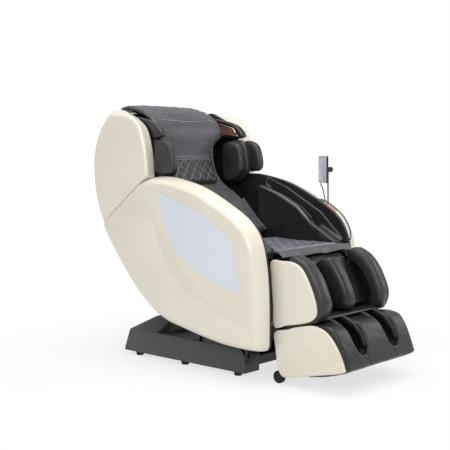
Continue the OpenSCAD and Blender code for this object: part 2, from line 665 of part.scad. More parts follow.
leg_half = leg_w / 2;
leg_dir = [-sin(leg_lean), -cos(leg_lean)];
guide_at = [-375, 430];     // top of the footrest guides, y and z
guide_x = leg_half - 39;
tube_r = 14;                // outer radius of a guide tube
tube_l = 160;
rod_end = 275;              // lower end of a guide rod, from the top of the guides
module along_leg(s) translate([0, guide_at[0] + leg_dir[0] * s, guide_at[1] + leg_dir[1] * s])
  rotate([-leg_lean, 0, 0]) mirror([0, 0, 1]) children();

module leg_frame() color([0.16, 0.16, 0.17]) difference() {
  union() {
    pair() {
      bar(209, 221, leg_pivot, 16);
      slab(209, 221, [[-389, 470], [-361, 470], [-361, 420], [-389, 410]]);
      along_leg(0) translate([guide_x, 0, 0]) cylinder(h = tube_l, r = tube_r);
      bar(209, guide_x, [-376, 424], 8);
    }
    bar(-216, 216, [-376, 424], 8);
    bar(-guide_x, guide_x, [-398, 320], 8);
  }
  pair() {
    bar(205, 225, leg_pivot, leg_pin_r + run_fit);
    along_leg(-10) translate([guide_x, 0, 0]) cylinder(h = tube_l + 20, r = guide_r + slide_fit);
  }
}

calf_pts = [[-312, 515], [-345, 519], [-440, 360], [-464, 300], [-460, 284], [-331, 243]];
calf_in = [[-316, 511], [-343, 515], [-436, 358], [-459, 300], [-456, 289], [-335, 248]];
housing_half = leg_half - 14;
module calf_housing() color([0.1, 0.1, 0.11]) difference() {
  slab(-housing_half, housing_half, calf_pts);
  slab(-housing_half + wall, housing_half - wall, calf_in);
  pair() {
    translate([190, -392, 425]) cube([34, 100, 110]);
    along_leg(tube_l - 30) translate([guide_x, 0, 0]) cylinder(h = 80, r = tube_r + gap);
  }
}

calf_side = round_outline([[-312, 517], [-372, 523], [-430, 520], [-478, 490], [-524, 410], [-546, 340],
  [-536, 300], [-491, 276], [-400, 256], [-331, 243], [-322, 340], [-314, 440]], 2);
module calf_shells() color([0.87, 0.84, 0.77]) pair()
  crowned(calf_side, [[housing_half + gap, 0], [leg_half - 5, 0], [leg_half - 1.5, 2], [leg_half, 6]]);

bolster_x = leg_half - 54;
bolster_path = smooth_path([[-520, 300], [-539, 346], [-523, 397], [-500, 444], [-462, 488], [-420, 512],
  [-386, 520]], 3);
module calf_bolster() pad(bolster_path, bolster_x, same(len(bolster_path), 40), 30, 30, m = 6);
module left_calf_bolster() color([0.11, 0.11, 0.12]) calf_bolster();
module right_calf_bolster() color([0.11, 0.11, 0.12]) left_only() calf_bolster();
centre_back = 26;
centre_path = smooth_path([[-484, 300], [-484, 345], [-460, 400], [-425, 455], [-385, 500]], 3);
module centre_calf_bolster() color([0.12, 0.12, 0.13])
  pad(centre_path, 0, same(len(centre_path), 44), 54, centre_back, m = 6);
pad_line = smooth_path([[-478, 304], [-448, 372], [-400, 452], [-367.5, 505.5]], 3);
module calf_pads() color([0.12, 0.12, 0.13]) pair()
  pad(pad_line, 112, same(len(pad_line), 60), 12, 11.8, m = 4);

// ---------- footrest ----------

foot_side = round_outline([[-332, 218], [-400, 240], [-467, 260], [-537, 270], [-600, 248], [-650, 192],
  [-684, 120], [-675, 98], [-560, 70], [-430, 42], [-378, 36], [-352, 70], [-338, 150]], 2);
module foot_shells() color([0.87, 0.84, 0.77]) pair()
  crowned(foot_side, [[housing_half + gap, 0], [leg_half - 5, 0], [leg_half - 1.5, 2], [leg_half, 6]]);

well_x = 120;
module boot_well() translate([well_x, 0, 0]) hull() {
  translate([0, -640, 176]) sphere(r = 44, $fn = 20);
  translate([0, -480, 150]) sphere(r = 46, $fn = 20);
  translate([0, -640, 400]) sphere(r = 60, $fn = 20);
  translate([0, -500, 400]) sphere(r = 60, $fn = 20);
}
boot_form = round_outline([[-345, 214], [-420, 240], [-490, 262], [-560, 276], [-620, 262], [-661, 205],
  [-690, 130], [-692, 100], [-600, 76], [-480, 56], [-400, 60], [-360, 90], [-350, 150]], 2);
boot_core = inset(boot_form, 12);
sole_at = [-520, 82];       // shaft of the sole rollers, y and z
sole_pin = 4;
wheel_at = [-341, wheel_r]; // axle of the wheels, y and z
wheel_x = housing_half - 24;
wheel_w = 18;
wheel_pin = 3;
lug_t = 4;
wheel_lug = [[-395, 72], [-365, 118], [-352, 118], [-329, 36], [-331, 17], [-351, 17]];
module foot_boot() color([0.15, 0.15, 0.16]) difference() {
  union() {
    crowned(boot_form, [[-housing_half, 3], [-housing_half + 10, 0], [housing_half - 10, 0], [housing_half, 3]]);
    pair() for (x = [wheel_x - 2 - lug_t, wheel_x + wheel_w + 2]) slab(x, x + lug_t, wheel_lug);
  }
  pair() {
    boot_well();
    bar(well_x - 50, well_x + 50, sole_at, 28);
    bar(well_x - 60, well_x + 60, sole_at, sole_pin + run_fit);
    bar(wheel_x - 8, wheel_x + wheel_w + 3.5, wheel_at, wheel_pin + run_fit);
    along_leg(120) translate([guide_x, 0, 0]) {
      cylinder(h = 50, r = tube_r + 1);
      cylinder(h = rod_end - 120, r = guide_r + run_fit);
    }
    difference() {
      slab(190, housing_half - 12, boot_core);
      rod_boss();
    }
  }
  slab(-50, 50, boot_core);
  difference() {
    intersection() {
      slab(-housing_half + 12, housing_half - 12, boot_core);
      translate([-leg_half, -436, 0]) cube([leg_w, 120, 300]);
    }
    pair() rod_boss();
  }
  translate([-40, -436, 0]) cube([80, 60, 120]);
}
module rod_boss() along_leg(100) translate([guide_x, 0, 0]) cylinder(h = rod_end - 92, r = guide_r + 8);

module foot_frame() color([0.2, 0.2, 0.21]) {
  pair() along_leg(25) translate([guide_x, 0, 0]) cylinder(h = rod_end - 25, r = guide_r);
}

module sole_rollers() color([0.75, 0.55, 0.3]) pair() {
  for (i = [-1, 0, 1]) bar(well_x + 26 * i - 9, well_x + 26 * i + 9, sole_at, 20);
  bar(well_x - 59, well_x + 59, sole_at, sole_pin);
}
module foot_wheels() color([0.08, 0.08, 0.08]) pair() {
  bar(wheel_x, wheel_x + wheel_w, wheel_at, wheel_r);
  bar(wheel_x - 2 - lug_t, wheel_x + wheel_w + 3, wheel_at, wheel_pin);
}

// ---------- remote ----------

remote_at = [330, -149, 888];
remote_turn = 61.6;         // how far the remote is turned to the sitter, in degrees
module on_remote() translate(remote_at) rotate([0, 0, remote_turn]) children();
module remote_block(w, h, t, r) rotate([90, 0, 0]) linear_extrude(t) offset(r) square([w - 2 * r, h - 2 * r], center = true);

pin_back = 24;              // tilt pin behind the middle of the remote
module remote_shell() color([0.1, 0.1, 0.1]) on_remote() {
  translate([0, remote_t / 2, 0]) remote_block(remote_w, remote_h, remote_t, 8);
  pair() difference() {
    translate([8, -pin_back - 6, -8]) cube([5, pin_back + 6 - remote_t / 2 + 0.5, 16]);
    translate([0, -pin_back, 0]) rotate([0, 90, 0]) cylinder(h = 20, r = 3 + run_fit);
  }
}
module remote_screen() color([0.8, 0.8, 0.86]) on_remote()
  translate([0, remote_t / 2 + 1.5, 0]) remote_block(remote_w - 10, remote_h - 16, 1.5, 3);

// round rod between two points
module rod(a, b, r) {
  d = b - a;
  translate(a) rotate([0, acos(d[2] / norm(d)), atan2(d[1], d[0])]) cylinder(h = norm(d), r = r);
}
stand_top = remote_at + [pin_back * sin(remote_turn), -pin_back * cos(remote_turn), -12];
foot_at = [318, -186];      // where the rod stands on its plate, x and y
// underside of the plate, just above the crest of the left shell
crest_line = [[-140, 745.3], [-170, 729.8], [-186, 720.5], [-200, 711.4], [-226, 694.4]];
module remote_stand() color([0.88, 0.72, 0.66]) {
  slab(304, 334, concat(crest_line, [for (i = [len(crest_line) - 1:-1:0]) crest_line[i] + [0, 4]]));
  rod([foot_at[0], foot_at[1], 723], stand_top, rod_r);
  translate(stand_top) sphere(r = rod_r + 1);
  on_remote() {
    translate([0, -pin_back, -12]) cylinder(h = 12, r = rod_r);
    translate([-20, -pin_back, 0]) rotate([0, 90, 0]) cylinder(h = 34, r = 3);
    translate([-7, -pin_back, 0]) rotate([0, 90, 0]) cylinder(h = 14, r = 6);
  }
}
module remote_knob() color([0.08, 0.08, 0.08]) on_remote() difference() {
  translate([-30, -pin_back, 0]) rotate([0, 90, 0]) cylinder(h = 15, r = 13);
  translate([-22, -pin_back, 0]) rotate([0, 90, 0]) cylinder(h = 15, r = 3 + run_fit);
}

cord_pts = [[342, -127, 823.5], [342, -128, 812], [345, -134, 798], [347, -138, 781], [348, -142, 763],
  [348.5, -147.5, 742], [350.7, -165, 730.6], [351.7, -185, 718.6], [351.8, -206, 705], [351.4, -229, 690], [349, -252, 671],
  [346, -272, 649], [341, -289, 626], [335, -302, 602], [326, -311, 584], [314, -317, 571], [303, -318, 564],
  [295, -313, 562], [293.5, -304.7, 562]];
cord_run = smooth_path(cord_pts, 2);

function unit(v) = v / norm(v);
module remote_cord() color([0.06, 0.06, 0.06])
  loft([for (i = [0:len(cord_run) - 1])
    let (t = heading(cord_run, i, false), a = unit(cross(t, [1, 0, 0])), b = cross(t, a))
    [for (k = [0:7]) cord_run[i] + cord_d / 2 * (cos(45 * k) * a + sin(45 * k) * b)]]);

module cord_gland() color([0.06, 0.06, 0.06])
  translate([293.5, -292.3, 562]) rotate([90, 0, 0]) cylinder(h = 12, r1 = 6, r2 = 4);

base_cover();
base_frame();
base_feet();
glide_blocks();
control_box();
air_pump();
rock_motor();
mains_inlet();
power_switch();
right_side_shell();
left_side_shell();
side_panels();
seat_frame();
rocker_rails();
belly_cover();
right_arm_liner();
left_arm_liner();
arm_airbags();
seat_pan();
seat_cushion();
seat_mat();
seat_flap();
lumbar_pad();
leg_motor();
recline_actuator();
recline_rod();
back_frame();
back_panel();
back_cover();
right_back_shell();
left_back_shell();
back_liner();
head_pillow();
right_head_wing();
left_head_wing();
speaker_grilles();
right_shoulder_pad();
left_shoulder_pad();
massage_carriage();
massage_arms();
upper_rollers();
lower_rollers();
leg_frame();
calf_housing();
calf_shells();
right_calf_bolster();
left_calf_bolster();
centre_calf_bolster();
calf_pads();
foot_frame();
foot_boot();
foot_shells();
sole_rollers();
foot_wheels();
remote_stand();
remote_knob();
remote_shell();
remote_screen();
remote_cord();
cord_gland();
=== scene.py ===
import bpy
import bmesh
import json
from math import sin, cos, pi, radians, sqrt, exp, atan2
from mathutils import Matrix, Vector, noise


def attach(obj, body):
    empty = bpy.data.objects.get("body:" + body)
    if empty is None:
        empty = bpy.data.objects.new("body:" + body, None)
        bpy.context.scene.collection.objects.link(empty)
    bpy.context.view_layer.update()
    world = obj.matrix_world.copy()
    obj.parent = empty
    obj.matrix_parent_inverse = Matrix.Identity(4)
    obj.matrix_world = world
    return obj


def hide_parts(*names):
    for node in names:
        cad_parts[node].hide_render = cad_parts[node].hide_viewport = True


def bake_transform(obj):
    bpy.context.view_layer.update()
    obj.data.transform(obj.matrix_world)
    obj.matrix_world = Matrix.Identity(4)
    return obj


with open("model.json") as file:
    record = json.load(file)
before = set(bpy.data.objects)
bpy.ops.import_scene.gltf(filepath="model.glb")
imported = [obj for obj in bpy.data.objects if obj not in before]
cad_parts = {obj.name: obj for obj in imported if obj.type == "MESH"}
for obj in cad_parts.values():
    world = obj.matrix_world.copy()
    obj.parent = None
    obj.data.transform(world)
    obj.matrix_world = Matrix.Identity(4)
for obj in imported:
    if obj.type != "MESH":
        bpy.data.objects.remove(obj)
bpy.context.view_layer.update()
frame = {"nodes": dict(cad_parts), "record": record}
bpy.context.scene.view_settings.view_transform = "Standard"
print("frame loaded")


# picking things up and putting them down

def putDown():
    if bpy.context.object and bpy.context.object.mode != "OBJECT":
        bpy.ops.object.mode_set(mode="OBJECT")
    bpy.ops.object.select_all(action="DESELECT")


def pickUp(*things):
    putDown()
    for t in things:
        t.select_set(True)
    bpy.context.view_layer.objects.active = things[0]


def openUp(ob, kind="VERT", chosen="DESELECT"):
    pickUp(ob)
    bpy.ops.object.mode_set(mode="EDIT")
    bpy.ops.mesh.select_mode(type=kind)
    bpy.ops.mesh.select_all(action=chosen)


def openAll(ob):
    openUp(ob, chosen="SELECT")


def facedOut(ob):                          # every face turned outwards
    openAll(ob)
    bpy.ops.mesh.normals_make_consistent(inside=False)
    putDown()


# side-view curves are in millimetres, (y, z), as drawn in the part's own outlines

def mm(*values):
    return tuple(v / 1000 for v in values)


def between(a, b, c, d, t):
    return tuple(0.5 * (2 * q + (r - p) * t + (2 * p - 5 * q + 4 * r - s) * t * t
                        + (3 * q - p - 3 * r + s) * t ** 3) for p, q, r, s in zip(a, b, c, d))


def smoothLoop(points, steps):
    n = len(points)
    return [between(points[i - 1], points[i], points[(i + 1) % n], points[(i + 2) % n], k / steps)
            for i in range(n) for k in range(steps)]


def smoothLine(points, steps):
    n = len(points)
    line = [between(points[max(i - 1, 0)], points[i], points[i + 1], points[min(i + 2, n - 1)], k / steps)
            for i in range(n - 1) for k in range(steps)]
    return line + [tuple(points[-1])]


def drawnIn(loop, d):                      # a closed outline moved inwards, less in its tight corners
    n = len(loop)
    if abs(d) < 3:
        reach = [d] * n
    else:
        room, gaps = [], []
        for i, p in enumerate(loop):
            a, b = loop[i - 1], loop[(i + 1) % n]
            u, v = Vector((p[0] - a[0], p[1] - a[1])), Vector((b[0] - p[0], b[1] - p[1]))
            turn = u.x * v.y - u.y * v.x
            bend = turn / max(u.length * v.length, 1e-9)
            room.append(0.9 * (u.length + v.length) / 2 / bend if bend > 1e-4 else 1e6)
            gaps.append(v.length)
        for way in (1, -1):                # the limit eases off along the outline
            for k in range(2 * n):
                i = (k * way) % n
                j = (i - way) % n
                gap = gaps[j] if way == 1 else gaps[i]
                room[i] = min(room[i], room[j] + 0.5 * gap)
        reach = [min(d, r) for r in room]
    out = []
    for i, p in enumerate(loop):
        a, b = loop[i - 1], loop[(i + 1) % n]
        ty, tz = b[0] - a[0], b[1] - a[1]
        size = sqrt(ty * ty + tz * tz)
        out.append((p[0] - reach[i] * tz / size, p[1] + reach[i] * ty / size))
    return out


def lookUp(table, x):
    if x <= table[0][0]:
        return table[0][1]
    for (x0, v0), (x1, v1) in zip(table, table[1:]):
        if x <= x1:
            return v0 + (v1 - v0) * (x - x0) / (x1 - x0)
    return table[-1][1]


def eased(table, x):                       # as lookUp, with a soft start and stop at each row
    for (x0, v0), (x1, v1) in zip(table, table[1:]):
        if x <= x1:
            t = max(0.0, (x - x0) / (x1 - x0))
            return v0 + (v1 - v0) * t * t * (3 - 2 * t)
    return table[-1][1]


def roundedEdge(distance, radius):         # height share of a quarter-round edge
    t = min(max(distance / radius, 0.0), 1.0)
    return sqrt(max(0.0, 1 - (1 - t) ** 2))


# a grid is added, laid on the rings, and its seam and ends are closed

def skinRings(name, rings, closed=True, capped=True, spread=None):
    putDown()
    tail = 1 if closed else 0
    cols = len(rings[0]) + tail
    bpy.ops.mesh.primitive_grid_add(x_subdivisions=cols - 1, y_subdivisions=len(rings) - 1, size=1)
    ob = bpy.context.object
    ob.name = name
    ob.data.name = name
    rows = [list(r) + list(r[:tail]) for r in rings]
    ob.data.vertices.foreach_set("co", [c / 1000 for r in rows for p in r for c in p])
    ob.data.update()
    if spread:
        flat = [c for r in spread for p in (list(r) + list(r[:tail])) for c in p]
        layer = ob.data.uv_layers.active.data
        for loop in ob.data.loops:
            layer[loop.index].uv = (flat[2 * loop.vertex_index], flat[2 * loop.vertex_index + 1])
    openAll(ob)
    bpy.ops.mesh.remove_doubles(threshold=0.00001)
    if capped:
        bpy.ops.mesh.fill_holes(sides=0)
    facedOut(ob)
    return ob


def acrossChair(name, loop, stations):     # an outline carried from x to x, drawn in at each
    return skinRings(name, [[(x, y, z) for y, z in drawnIn(loop, d)] for x, d in stations])


def slabAcross(name, loop, x0, x1):
    return acrossChair(name, loop, [(x0, 0), (x1, 0)])


def tubeAlong(name, path, radius, sides=10, start=1.0, stop=1.0):
    rings = []
    up = Vector((1, 0, 0))
    count = len(path)
    for i, p in enumerate(path):
        a, b = Vector(path[max(i - 1, 0)]), Vector(path[min(i + 1, count - 1)])
        t = (b - a).normalized()
        up = (up - t * up.dot(t)).normalized()
        side = t.cross(up)
        r = radius * (start if i == 0 else stop if i == count - 1 else 1)
        rings.append([tuple(Vector(p) + r * (cos(2 * pi * k / sides) * up + sin(2 * pi * k / sides) * side))
                      for k in range(sides)])
    return skinRings(name, rings)


def block(name, place, size):
    putDown()
    bpy.ops.mesh.primitive_cube_add(size=1, location=mm(*place), scale=mm(*size))
    ob = bpy.context.object
    ob.name = name
    settle(ob)
    return ob


def reshaped(ob, kind, **settings):        # a modifier with its settings, applied
    pickUp(ob)
    change = ob.modifiers.new("change", kind)
    for key, value in settings.items():
        setattr(change, key, value)
    bpy.context.view_layer.update()
    bpy.ops.object.modifier_apply(modifier="change")


def cutBy(ob, cutter):
    reshaped(ob, "BOOLEAN", operation="DIFFERENCE", object=cutter, solver="FAST")
    bpy.data.objects.remove(cutter)


def softenEdges(ob, width, limit=50, steps=2):
    reshaped(ob, "BEVEL", width=width / 1000, segments=steps, limit_method="ANGLE", angle_limit=radians(limit),
             use_clamp_overlap=True)


def settle(ob):                            # place and turn go into the mesh
    pickUp(ob)
    bpy.ops.object.transform_apply(location=True, rotation=True, scale=True)


def joined(first, *rest):
    pickUp(first, *rest)
    bpy.ops.object.join()
    return bpy.context.object


def otherSide(ob, name):                   # the same piece on the sitter's right, its own mesh
    pickUp(ob)
    bpy.ops.object.duplicate()
    twin = bpy.context.object
    twin.name = name
    twin.data.name = name
    twin.scale.x = -1
    settle(twin)
    facedOut(twin)
    return twin


def withTwin(left):                        # the piece and its mirror image, as one
    return joined(left, otherSide(left, left.name + "Twin"))


def dress(ob, look, angle=40):
    pickUp(ob)
    bpy.ops.object.shade_smooth_by_angle(angle=radians(angle))
    ob.data.materials.clear()
    ob.data.materials.append(look)


def fit(ob, body, slot, *nodes):
    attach(ob, body)
    if nodes:
        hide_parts(*nodes)


def fitPair(left, rightName, body, slot, leftNode, rightNode):
    for name, source in ((left.name, leftNode), (rightName, rightNode)):
        piece = left if name == left.name else otherSide(left, name)
        fit(piece, body, slot, source)


# looks

def tint(r, g, b):                         # a screen colour as light
    return tuple((v / 255 / 12.92 if v / 255 <= 0.04045 else ((v / 255 + 0.055) / 1.055) ** 2.4)
                 for v in (r, g, b)) + (1.0,)


def startLook(name, rough, metal=0.0, coat=0.0, coatRough=0.1):
    look = bpy.data.materials.new(name)
    look.use_nodes = True
    tree = look.node_tree
    shader = tree.nodes["Principled BSDF"]
    shader.inputs["Roughness"].default_value = rough
    shader.inputs["Metallic"].default_value = metal
    shader.inputs["Coat Weight"].default_value = coat
    shader.inputs["Coat Roughness"].default_value = coatRough
    return look, tree, shader


def node(tree, kind, **sockets):
    made = tree.nodes.new("ShaderNode" + kind)
    for key, value in sockets.items():
        made.inputs[key.replace("_", " ")].default_value = value
    return made


def calc(tree, how, a, b=0.0, c=None):
    made = tree.nodes.new("ShaderNodeMath")
    made.operation = how
    for i, v in enumerate((a, b) if c is None else (a, b, c)):
        if isinstance(v, (int, float)):
            made.inputs[i].default_value = v
        else:
            tree.links.new(v, made.inputs[i])
    return made.outputs[0]


def placeOf(tree):
    return tree.nodes.new("ShaderNodeTexCoord").outputs["Object"]


def cloudy(tree, place, scale, detail=3.0, stretch=None):
    made = node(tree, "TexNoise", Scale=scale, Detail=detail)
    if stretch:
        sized = node(tree, "Mapping", Scale=stretch)
        tree.links.new(place, sized.inputs["Vector"])
        place = sized.outputs[0]
    tree.links.new(place, made.inputs["Vector"])
    return made.outputs["Fac"]


def toned(tree, shader, amount, low, high):    # colour between two tones
    ramp = tree.nodes.new("ShaderNodeValToRGB")
    ramp.color_ramp.elements[0].position = 0.3
    ramp.color_ramp.elements[1].position = 0.7
    ramp.color_ramp.elements[0].color = low
    ramp.color_ramp.elements[1].color = high
    tree.links.new(amount, ramp.inputs[0])
    tree.links.new(ramp.outputs[0], shader.inputs["Base Color"])
    return ramp.outputs[0]


def over(tree, amount, colour, top):       # a plain colour laid over another by an amount
    mix = tree.nodes.new("ShaderNodeMix")
    mix.data_type = "RGBA"
    tree.links.new(amount, mix.inputs[0])
    tree.links.new(colour, mix.inputs[6])
    mix.inputs[7].default_value = tint(*top)
    return mix.outputs[2]


def ranged(tree, amount, low, high, socket):
    made = node(tree, "MapRange", To_Min=low, To_Max=high)
    tree.links.new(amount, made.inputs["Value"])
    tree.links.new(made.outputs[0], socket)


def raised(tree, shader, height, strength, distance, below=None):
    made = node(tree, "Bump", Strength=strength, Distance=distance)
    tree.links.new(height, made.inputs["Height"])
    if below is not None:
        tree.links.new(below, made.inputs["Normal"])
    tree.links.new(made.outputs[0], shader.inputs["Normal"])
    return made.outputs[0]


def mouldedLook(name, low, high, rough, grain, depth, coat=0.0, coatRough=0.12):
    look, tree, shader = startLook(name, rough, coat=coat, coatRough=coatRough)
    place = placeOf(tree)
    toned(tree, shader, cloudy(tree, place, 5.0), tint(*low), tint(*high))
    ranged(tree, cloudy(tree, place, 22.0), rough - 0.04, rough + 0.06, shader.inputs["Roughness"])
    raised(tree, shader, cloudy(tree, place, grain, 2.0), depth, 0.0004)
    return look


def metalLook(name, low, high, rough, stretch, depth=0.12):
    look, tree, shader = startLook(name, rough, metal=1.0)
    place = placeOf(tree)
    brushed = cloudy(tree, place, 90.0, 4.0, stretch)
    toned(tree, shader, brushed, tint(*low), tint(*high))
    ranged(tree, brushed, rough - 0.06, rough + 0.1, shader.inputs["Roughness"])
    raised(tree, shader, brushed, depth, 0.0003)
    return look


leather = {"pebble": 520.0, "pebbleDepth": 0.16, "crease": 34.0, "creaseDepth": 0.25, "coat": 0.18}


def leatherBase(name, low, high, rough):
    look, tree, shader = startLook(name, rough, coat=leather["coat"], coatRough=0.22)
    place = placeOf(tree)
    colour = toned(tree, shader, cloudy(tree, place, 9.0), tint(*low), tint(*high))
    ranged(tree, cloudy(tree, place, 40.0), rough - 0.06, rough + 0.1, shader.inputs["Roughness"])
    cells = node(tree, "TexVoronoi", Scale=leather["pebble"])
    tree.links.new(place, cells.inputs["Vector"])
    creases = cloudy(tree, place, leather["crease"], 5.0)
    first = raised(tree, shader, creases, leather["creaseDepth"], 0.0025)
    second = raised(tree, shader, cells.outputs["Distance"], leather["pebbleDepth"], 0.0004, first)
    return look, tree, shader, colour, second


def leatherLook(name, low, high, rough):
    return leatherBase(name, low, high, rough)[0]


stitching = {"width": 0.0016, "perDiamond": 9.0, "dash": 0.36, "lift": 0.0008, "patchDepth": 0.85}


def stitchedLook(name, low, high, rough, thread, cell, fromV, toV, patch=None):
    # thread along the diamonds, only where the piece's own lengthwise place is in the sewn part
    look, tree, shader, colour, skin = leatherBase(name, low, high, rough)
    split = tree.nodes.new("ShaderNodeSeparateXYZ")
    tree.links.new(tree.nodes.new("ShaderNodeUVMap").outputs[0], split.inputs[0])
    u = calc(tree, "DIVIDE", split.outputs[0], cell[0])
    v = calc(tree, "DIVIDE", split.outputs[1], cell[1])
    rows = []
    for way in ("ADD", "SUBTRACT"):
        along = calc(tree, way, u, v)
        other = calc(tree, "SUBTRACT" if way == "ADD" else "ADD", u, v)
        near = calc(tree, "LESS_THAN", calc(tree, "PINGPONG", along, 0.5), stitching["width"] / cell[0])
        beat = calc(tree, "PINGPONG", calc(tree, "MULTIPLY", other, stitching["perDiamond"]), 0.5)
        dash = calc(tree, "LESS_THAN", beat, stitching["dash"])
        rows.append(calc(tree, "MULTIPLY", near, dash))
    both = calc(tree, "MAXIMUM", rows[0], rows[1])
    region = calc(tree, "MULTIPLY", calc(tree, "GREATER_THAN", split.outputs[1], fromV),
                  calc(tree, "LESS_THAN", split.outputs[1], toV))
    sewn = calc(tree, "MULTIPLY", both, region)
    if patch:                              # the sewn part in its own colour
        colour = over(tree, calc(tree, "MULTIPLY", region, stitching["patchDepth"]), colour, patch)
    tree.links.new(over(tree, sewn, colour, thread), shader.inputs["Base Color"])
    raised(tree, shader, sewn, 0.5, stitching["lift"], skin)
    return look


creamGloss = mouldedLook("creamGloss", (222, 215, 197), (226, 220, 204), 0.3, 700.0, 0.03, coat=0.5)
plateSatin = mouldedLook("plateSatin", (212, 217, 226), (216, 220, 229), 0.34, 800.0, 0.03, coat=0.4)
baseGrain = mouldedLook("baseGrain", (66, 67, 70), (74, 75, 78), 0.5, 1300.0, 0.35)
darkGrain = mouldedLook("darkGrain", (24, 24, 26), (30, 30, 32), 0.5, 1300.0, 0.35)
powderCoat = mouldedLook("powderCoat", (38, 38, 40), (46, 46, 48), 0.45, 900.0, 0.5)
castMetal = mouldedLook("castMetal", (86, 87, 90), (98, 99, 102), 0.42, 500.0, 0.5)
nylonMilky = mouldedLook("nylonMilky", (218, 216, 205), (226, 224, 214), 0.4, 600.0, 0.1)
boxGreen = mouldedLook("boxGreen", (46, 64, 56), (54, 72, 64), 0.5, 900.0, 0.3)
switchGloss = mouldedLook("switchGloss", (140, 16, 16), (156, 22, 20), 0.25, 500.0, 0.05, coat=0.4)
wheelRubber = mouldedLook("wheelRubber", (18, 18, 19), (28, 28, 29), 0.72, 420.0, 0.6)
remoteGloss = mouldedLook("remoteGloss", (16, 16, 18), (22, 22, 24), 0.28, 900.0, 0.05, coat=0.6)
bezelSilver = mouldedLook("bezelSilver", (196, 198, 206), (208, 210, 216), 0.3, 900.0, 0.05, coat=0.4)
airFilm = mouldedLook("airFilm", (44, 44, 46), (54, 54, 56), 0.42, 240.0, 0.3)
amberRoller = mouldedLook("amberRoller", (186, 134, 70), (200, 148, 84), 0.3, 300.0, 0.1, coat=0.3)
cordBlack = mouldedLook("cordBlack", (16, 16, 17), (24, 24, 25), 0.5, 1500.0, 0.3)
threadLight = mouldedLook("threadLight", (150, 151, 154), (168, 169, 172), 0.55, 1600.0, 0.6)
railSteel = metalLook("railSteel", (150, 152, 156), (186, 188, 192), 0.28, (1, 14, 14))
roseMetal = metalLook("roseMetal", (226, 184, 168), (240, 204, 190), 0.26, (1, 20, 20), 0.05)
greyRod = metalLook("greyRod", (120, 121, 126), (150, 151, 156), 0.34, (30, 30, 1))
blackLeather = leatherLook("blackLeather", (26, 26, 28), (34, 34, 36), 0.34)
softBlack = leatherLook("softBlack", (34, 34, 36), (44, 44, 47), 0.4)
deepBlack = leatherLook("deepBlack", (19, 19, 21), (27, 27, 29), 0.42)
# pale grey for the lip of the arm trough: a painted highlight on black leather
armLipPaintedHighlight = mouldedLook("armLipPaintedHighlight", (96, 97, 99), (112, 113, 115), 0.3, 500.0, 0.1, coat=0.3)
greyLeather = leatherLook("greyLeather", (72, 73, 77), (84, 85, 89), 0.38)
quiltPillow = stitchedLook("quiltPillow", (62, 63, 68), (76, 77, 83), 0.36, (150, 151, 155), (0.057, 0.062),
                           0.006, 0.118, patch=(38, 39, 43))
quiltSeat = stitchedLook("quiltSeat", (100, 100, 110), (122, 122, 133), 0.26, (44, 44, 50), (0.062, 0.06),
                         0.03, 0.36)


grilleMesh = {"pitch": 0.003, "hole": (104, 74, 70), "wire": (176, 132, 122)}


def meshLook():                            # woven grille, holes in rows
    look, tree, shader = startLook("roseMesh", 0.45, metal=0.6)
    split = tree.nodes.new("ShaderNodeSeparateXYZ")
    tree.links.new(placeOf(tree), split.inputs[0])
    y, z = (calc(tree, "SINE", calc(tree, "MULTIPLY", split.outputs[k], 2 * pi / grilleMesh["pitch"])) for k in (1, 2))
    holes = calc(tree, "ADD", calc(tree, "MULTIPLY", calc(tree, "MULTIPLY", y, z), 0.5), 0.5)
    toned(tree, shader, holes, tint(*grilleMesh["hole"]), tint(*grilleMesh["wire"]))
    raised(tree, shader, holes, 0.6, 0.0006)
    return look


def screenLook():                          # a lit panel under smooth glass
    look, tree, shader = startLook("screenGlass", 0.18, coat=1.0, coatRough=0.03)
    toned(tree, shader, cloudy(tree, placeOf(tree), 12.0), tint(206, 206, 222), tint(216, 216, 230))
    return look


roseMesh = meshLook()
screenGlass = screenLook()
finishes = {"cream_shell": creamGloss, "pale_panel": plateSatin, "base_plastic": baseGrain, "dark_plastic": darkGrain,
            "frame_steel": powderCoat, "rail_steel": railSteel, "motor_metal": castMetal, "nylon": nylonMilky,
            "circuit_case": boxGreen, "switch_red": switchGloss, "rubber": wheelRubber, "black_leather": blackLeather,
            "grey_leather": greyLeather, "airbag_film": airFilm, "rose_metal": roseMetal, "rose_mesh": roseMesh,
            "amber_roller": amberRoller, "remote_black": remoteGloss, "screen": screenGlass}
slotOf = {part["node"]: part["material_slot"] for part in frame["record"]["subparts"]}
for name, ob in frame["nodes"].items():
    ob.data.materials.clear()
    ob.data.materials.append(finishes[slotOf[name]])
print("looks made")


# camera first, then the cord

view = {"from": (-3.342, -2.764, 0.992), "to": (0.0, 0.182, 0.626), "lens": 75.6}


def setCamera():
    putDown()
    bpy.ops.object.camera_add(location=view["from"])
    eye = bpy.context.object
    eye.name = "eye"
    eye.data.lens = view["lens"]
    eye.data.sensor_width = 36
    eye.rotation_euler = (Vector(view["to"]) - Vector(view["from"])).to_track_quat("-Z", "Y").to_euler()
    bpy.context.scene.camera = eye


setCamera()

remoteCord = {"across": 5.0, "held": (348, -142, 763), "carried": (342, -127, 823),
              "route": [(342, -127, 823.5), (342, -128, 812), (345, -134, 798), (347, -138, 781), (348, -142, 763),
                        (348.5, -147.5, 742), (350.7, -165, 730.6), (351.7, -185, 718.6), (351.8, -206, 705),
                        (351.4, -229, 690), (349, -252, 671), (346, -272, 649), (341, -289, 626), (335, -302, 602),
                        (326, -311, 584), (314, -317, 571), (303, -318, 564), (295, -313, 562), (293.5, -304.7, 562)]}


def makeCord():
    line = smoothLine(remoteCord["route"], 6)
    lead = tubeAlong("remoteLead", line, remoteCord["across"] / 2, 12)
    dress(lead, cordBlack)
    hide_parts("remote_cord")
    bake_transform(lead)


makeCord()


# hard shells

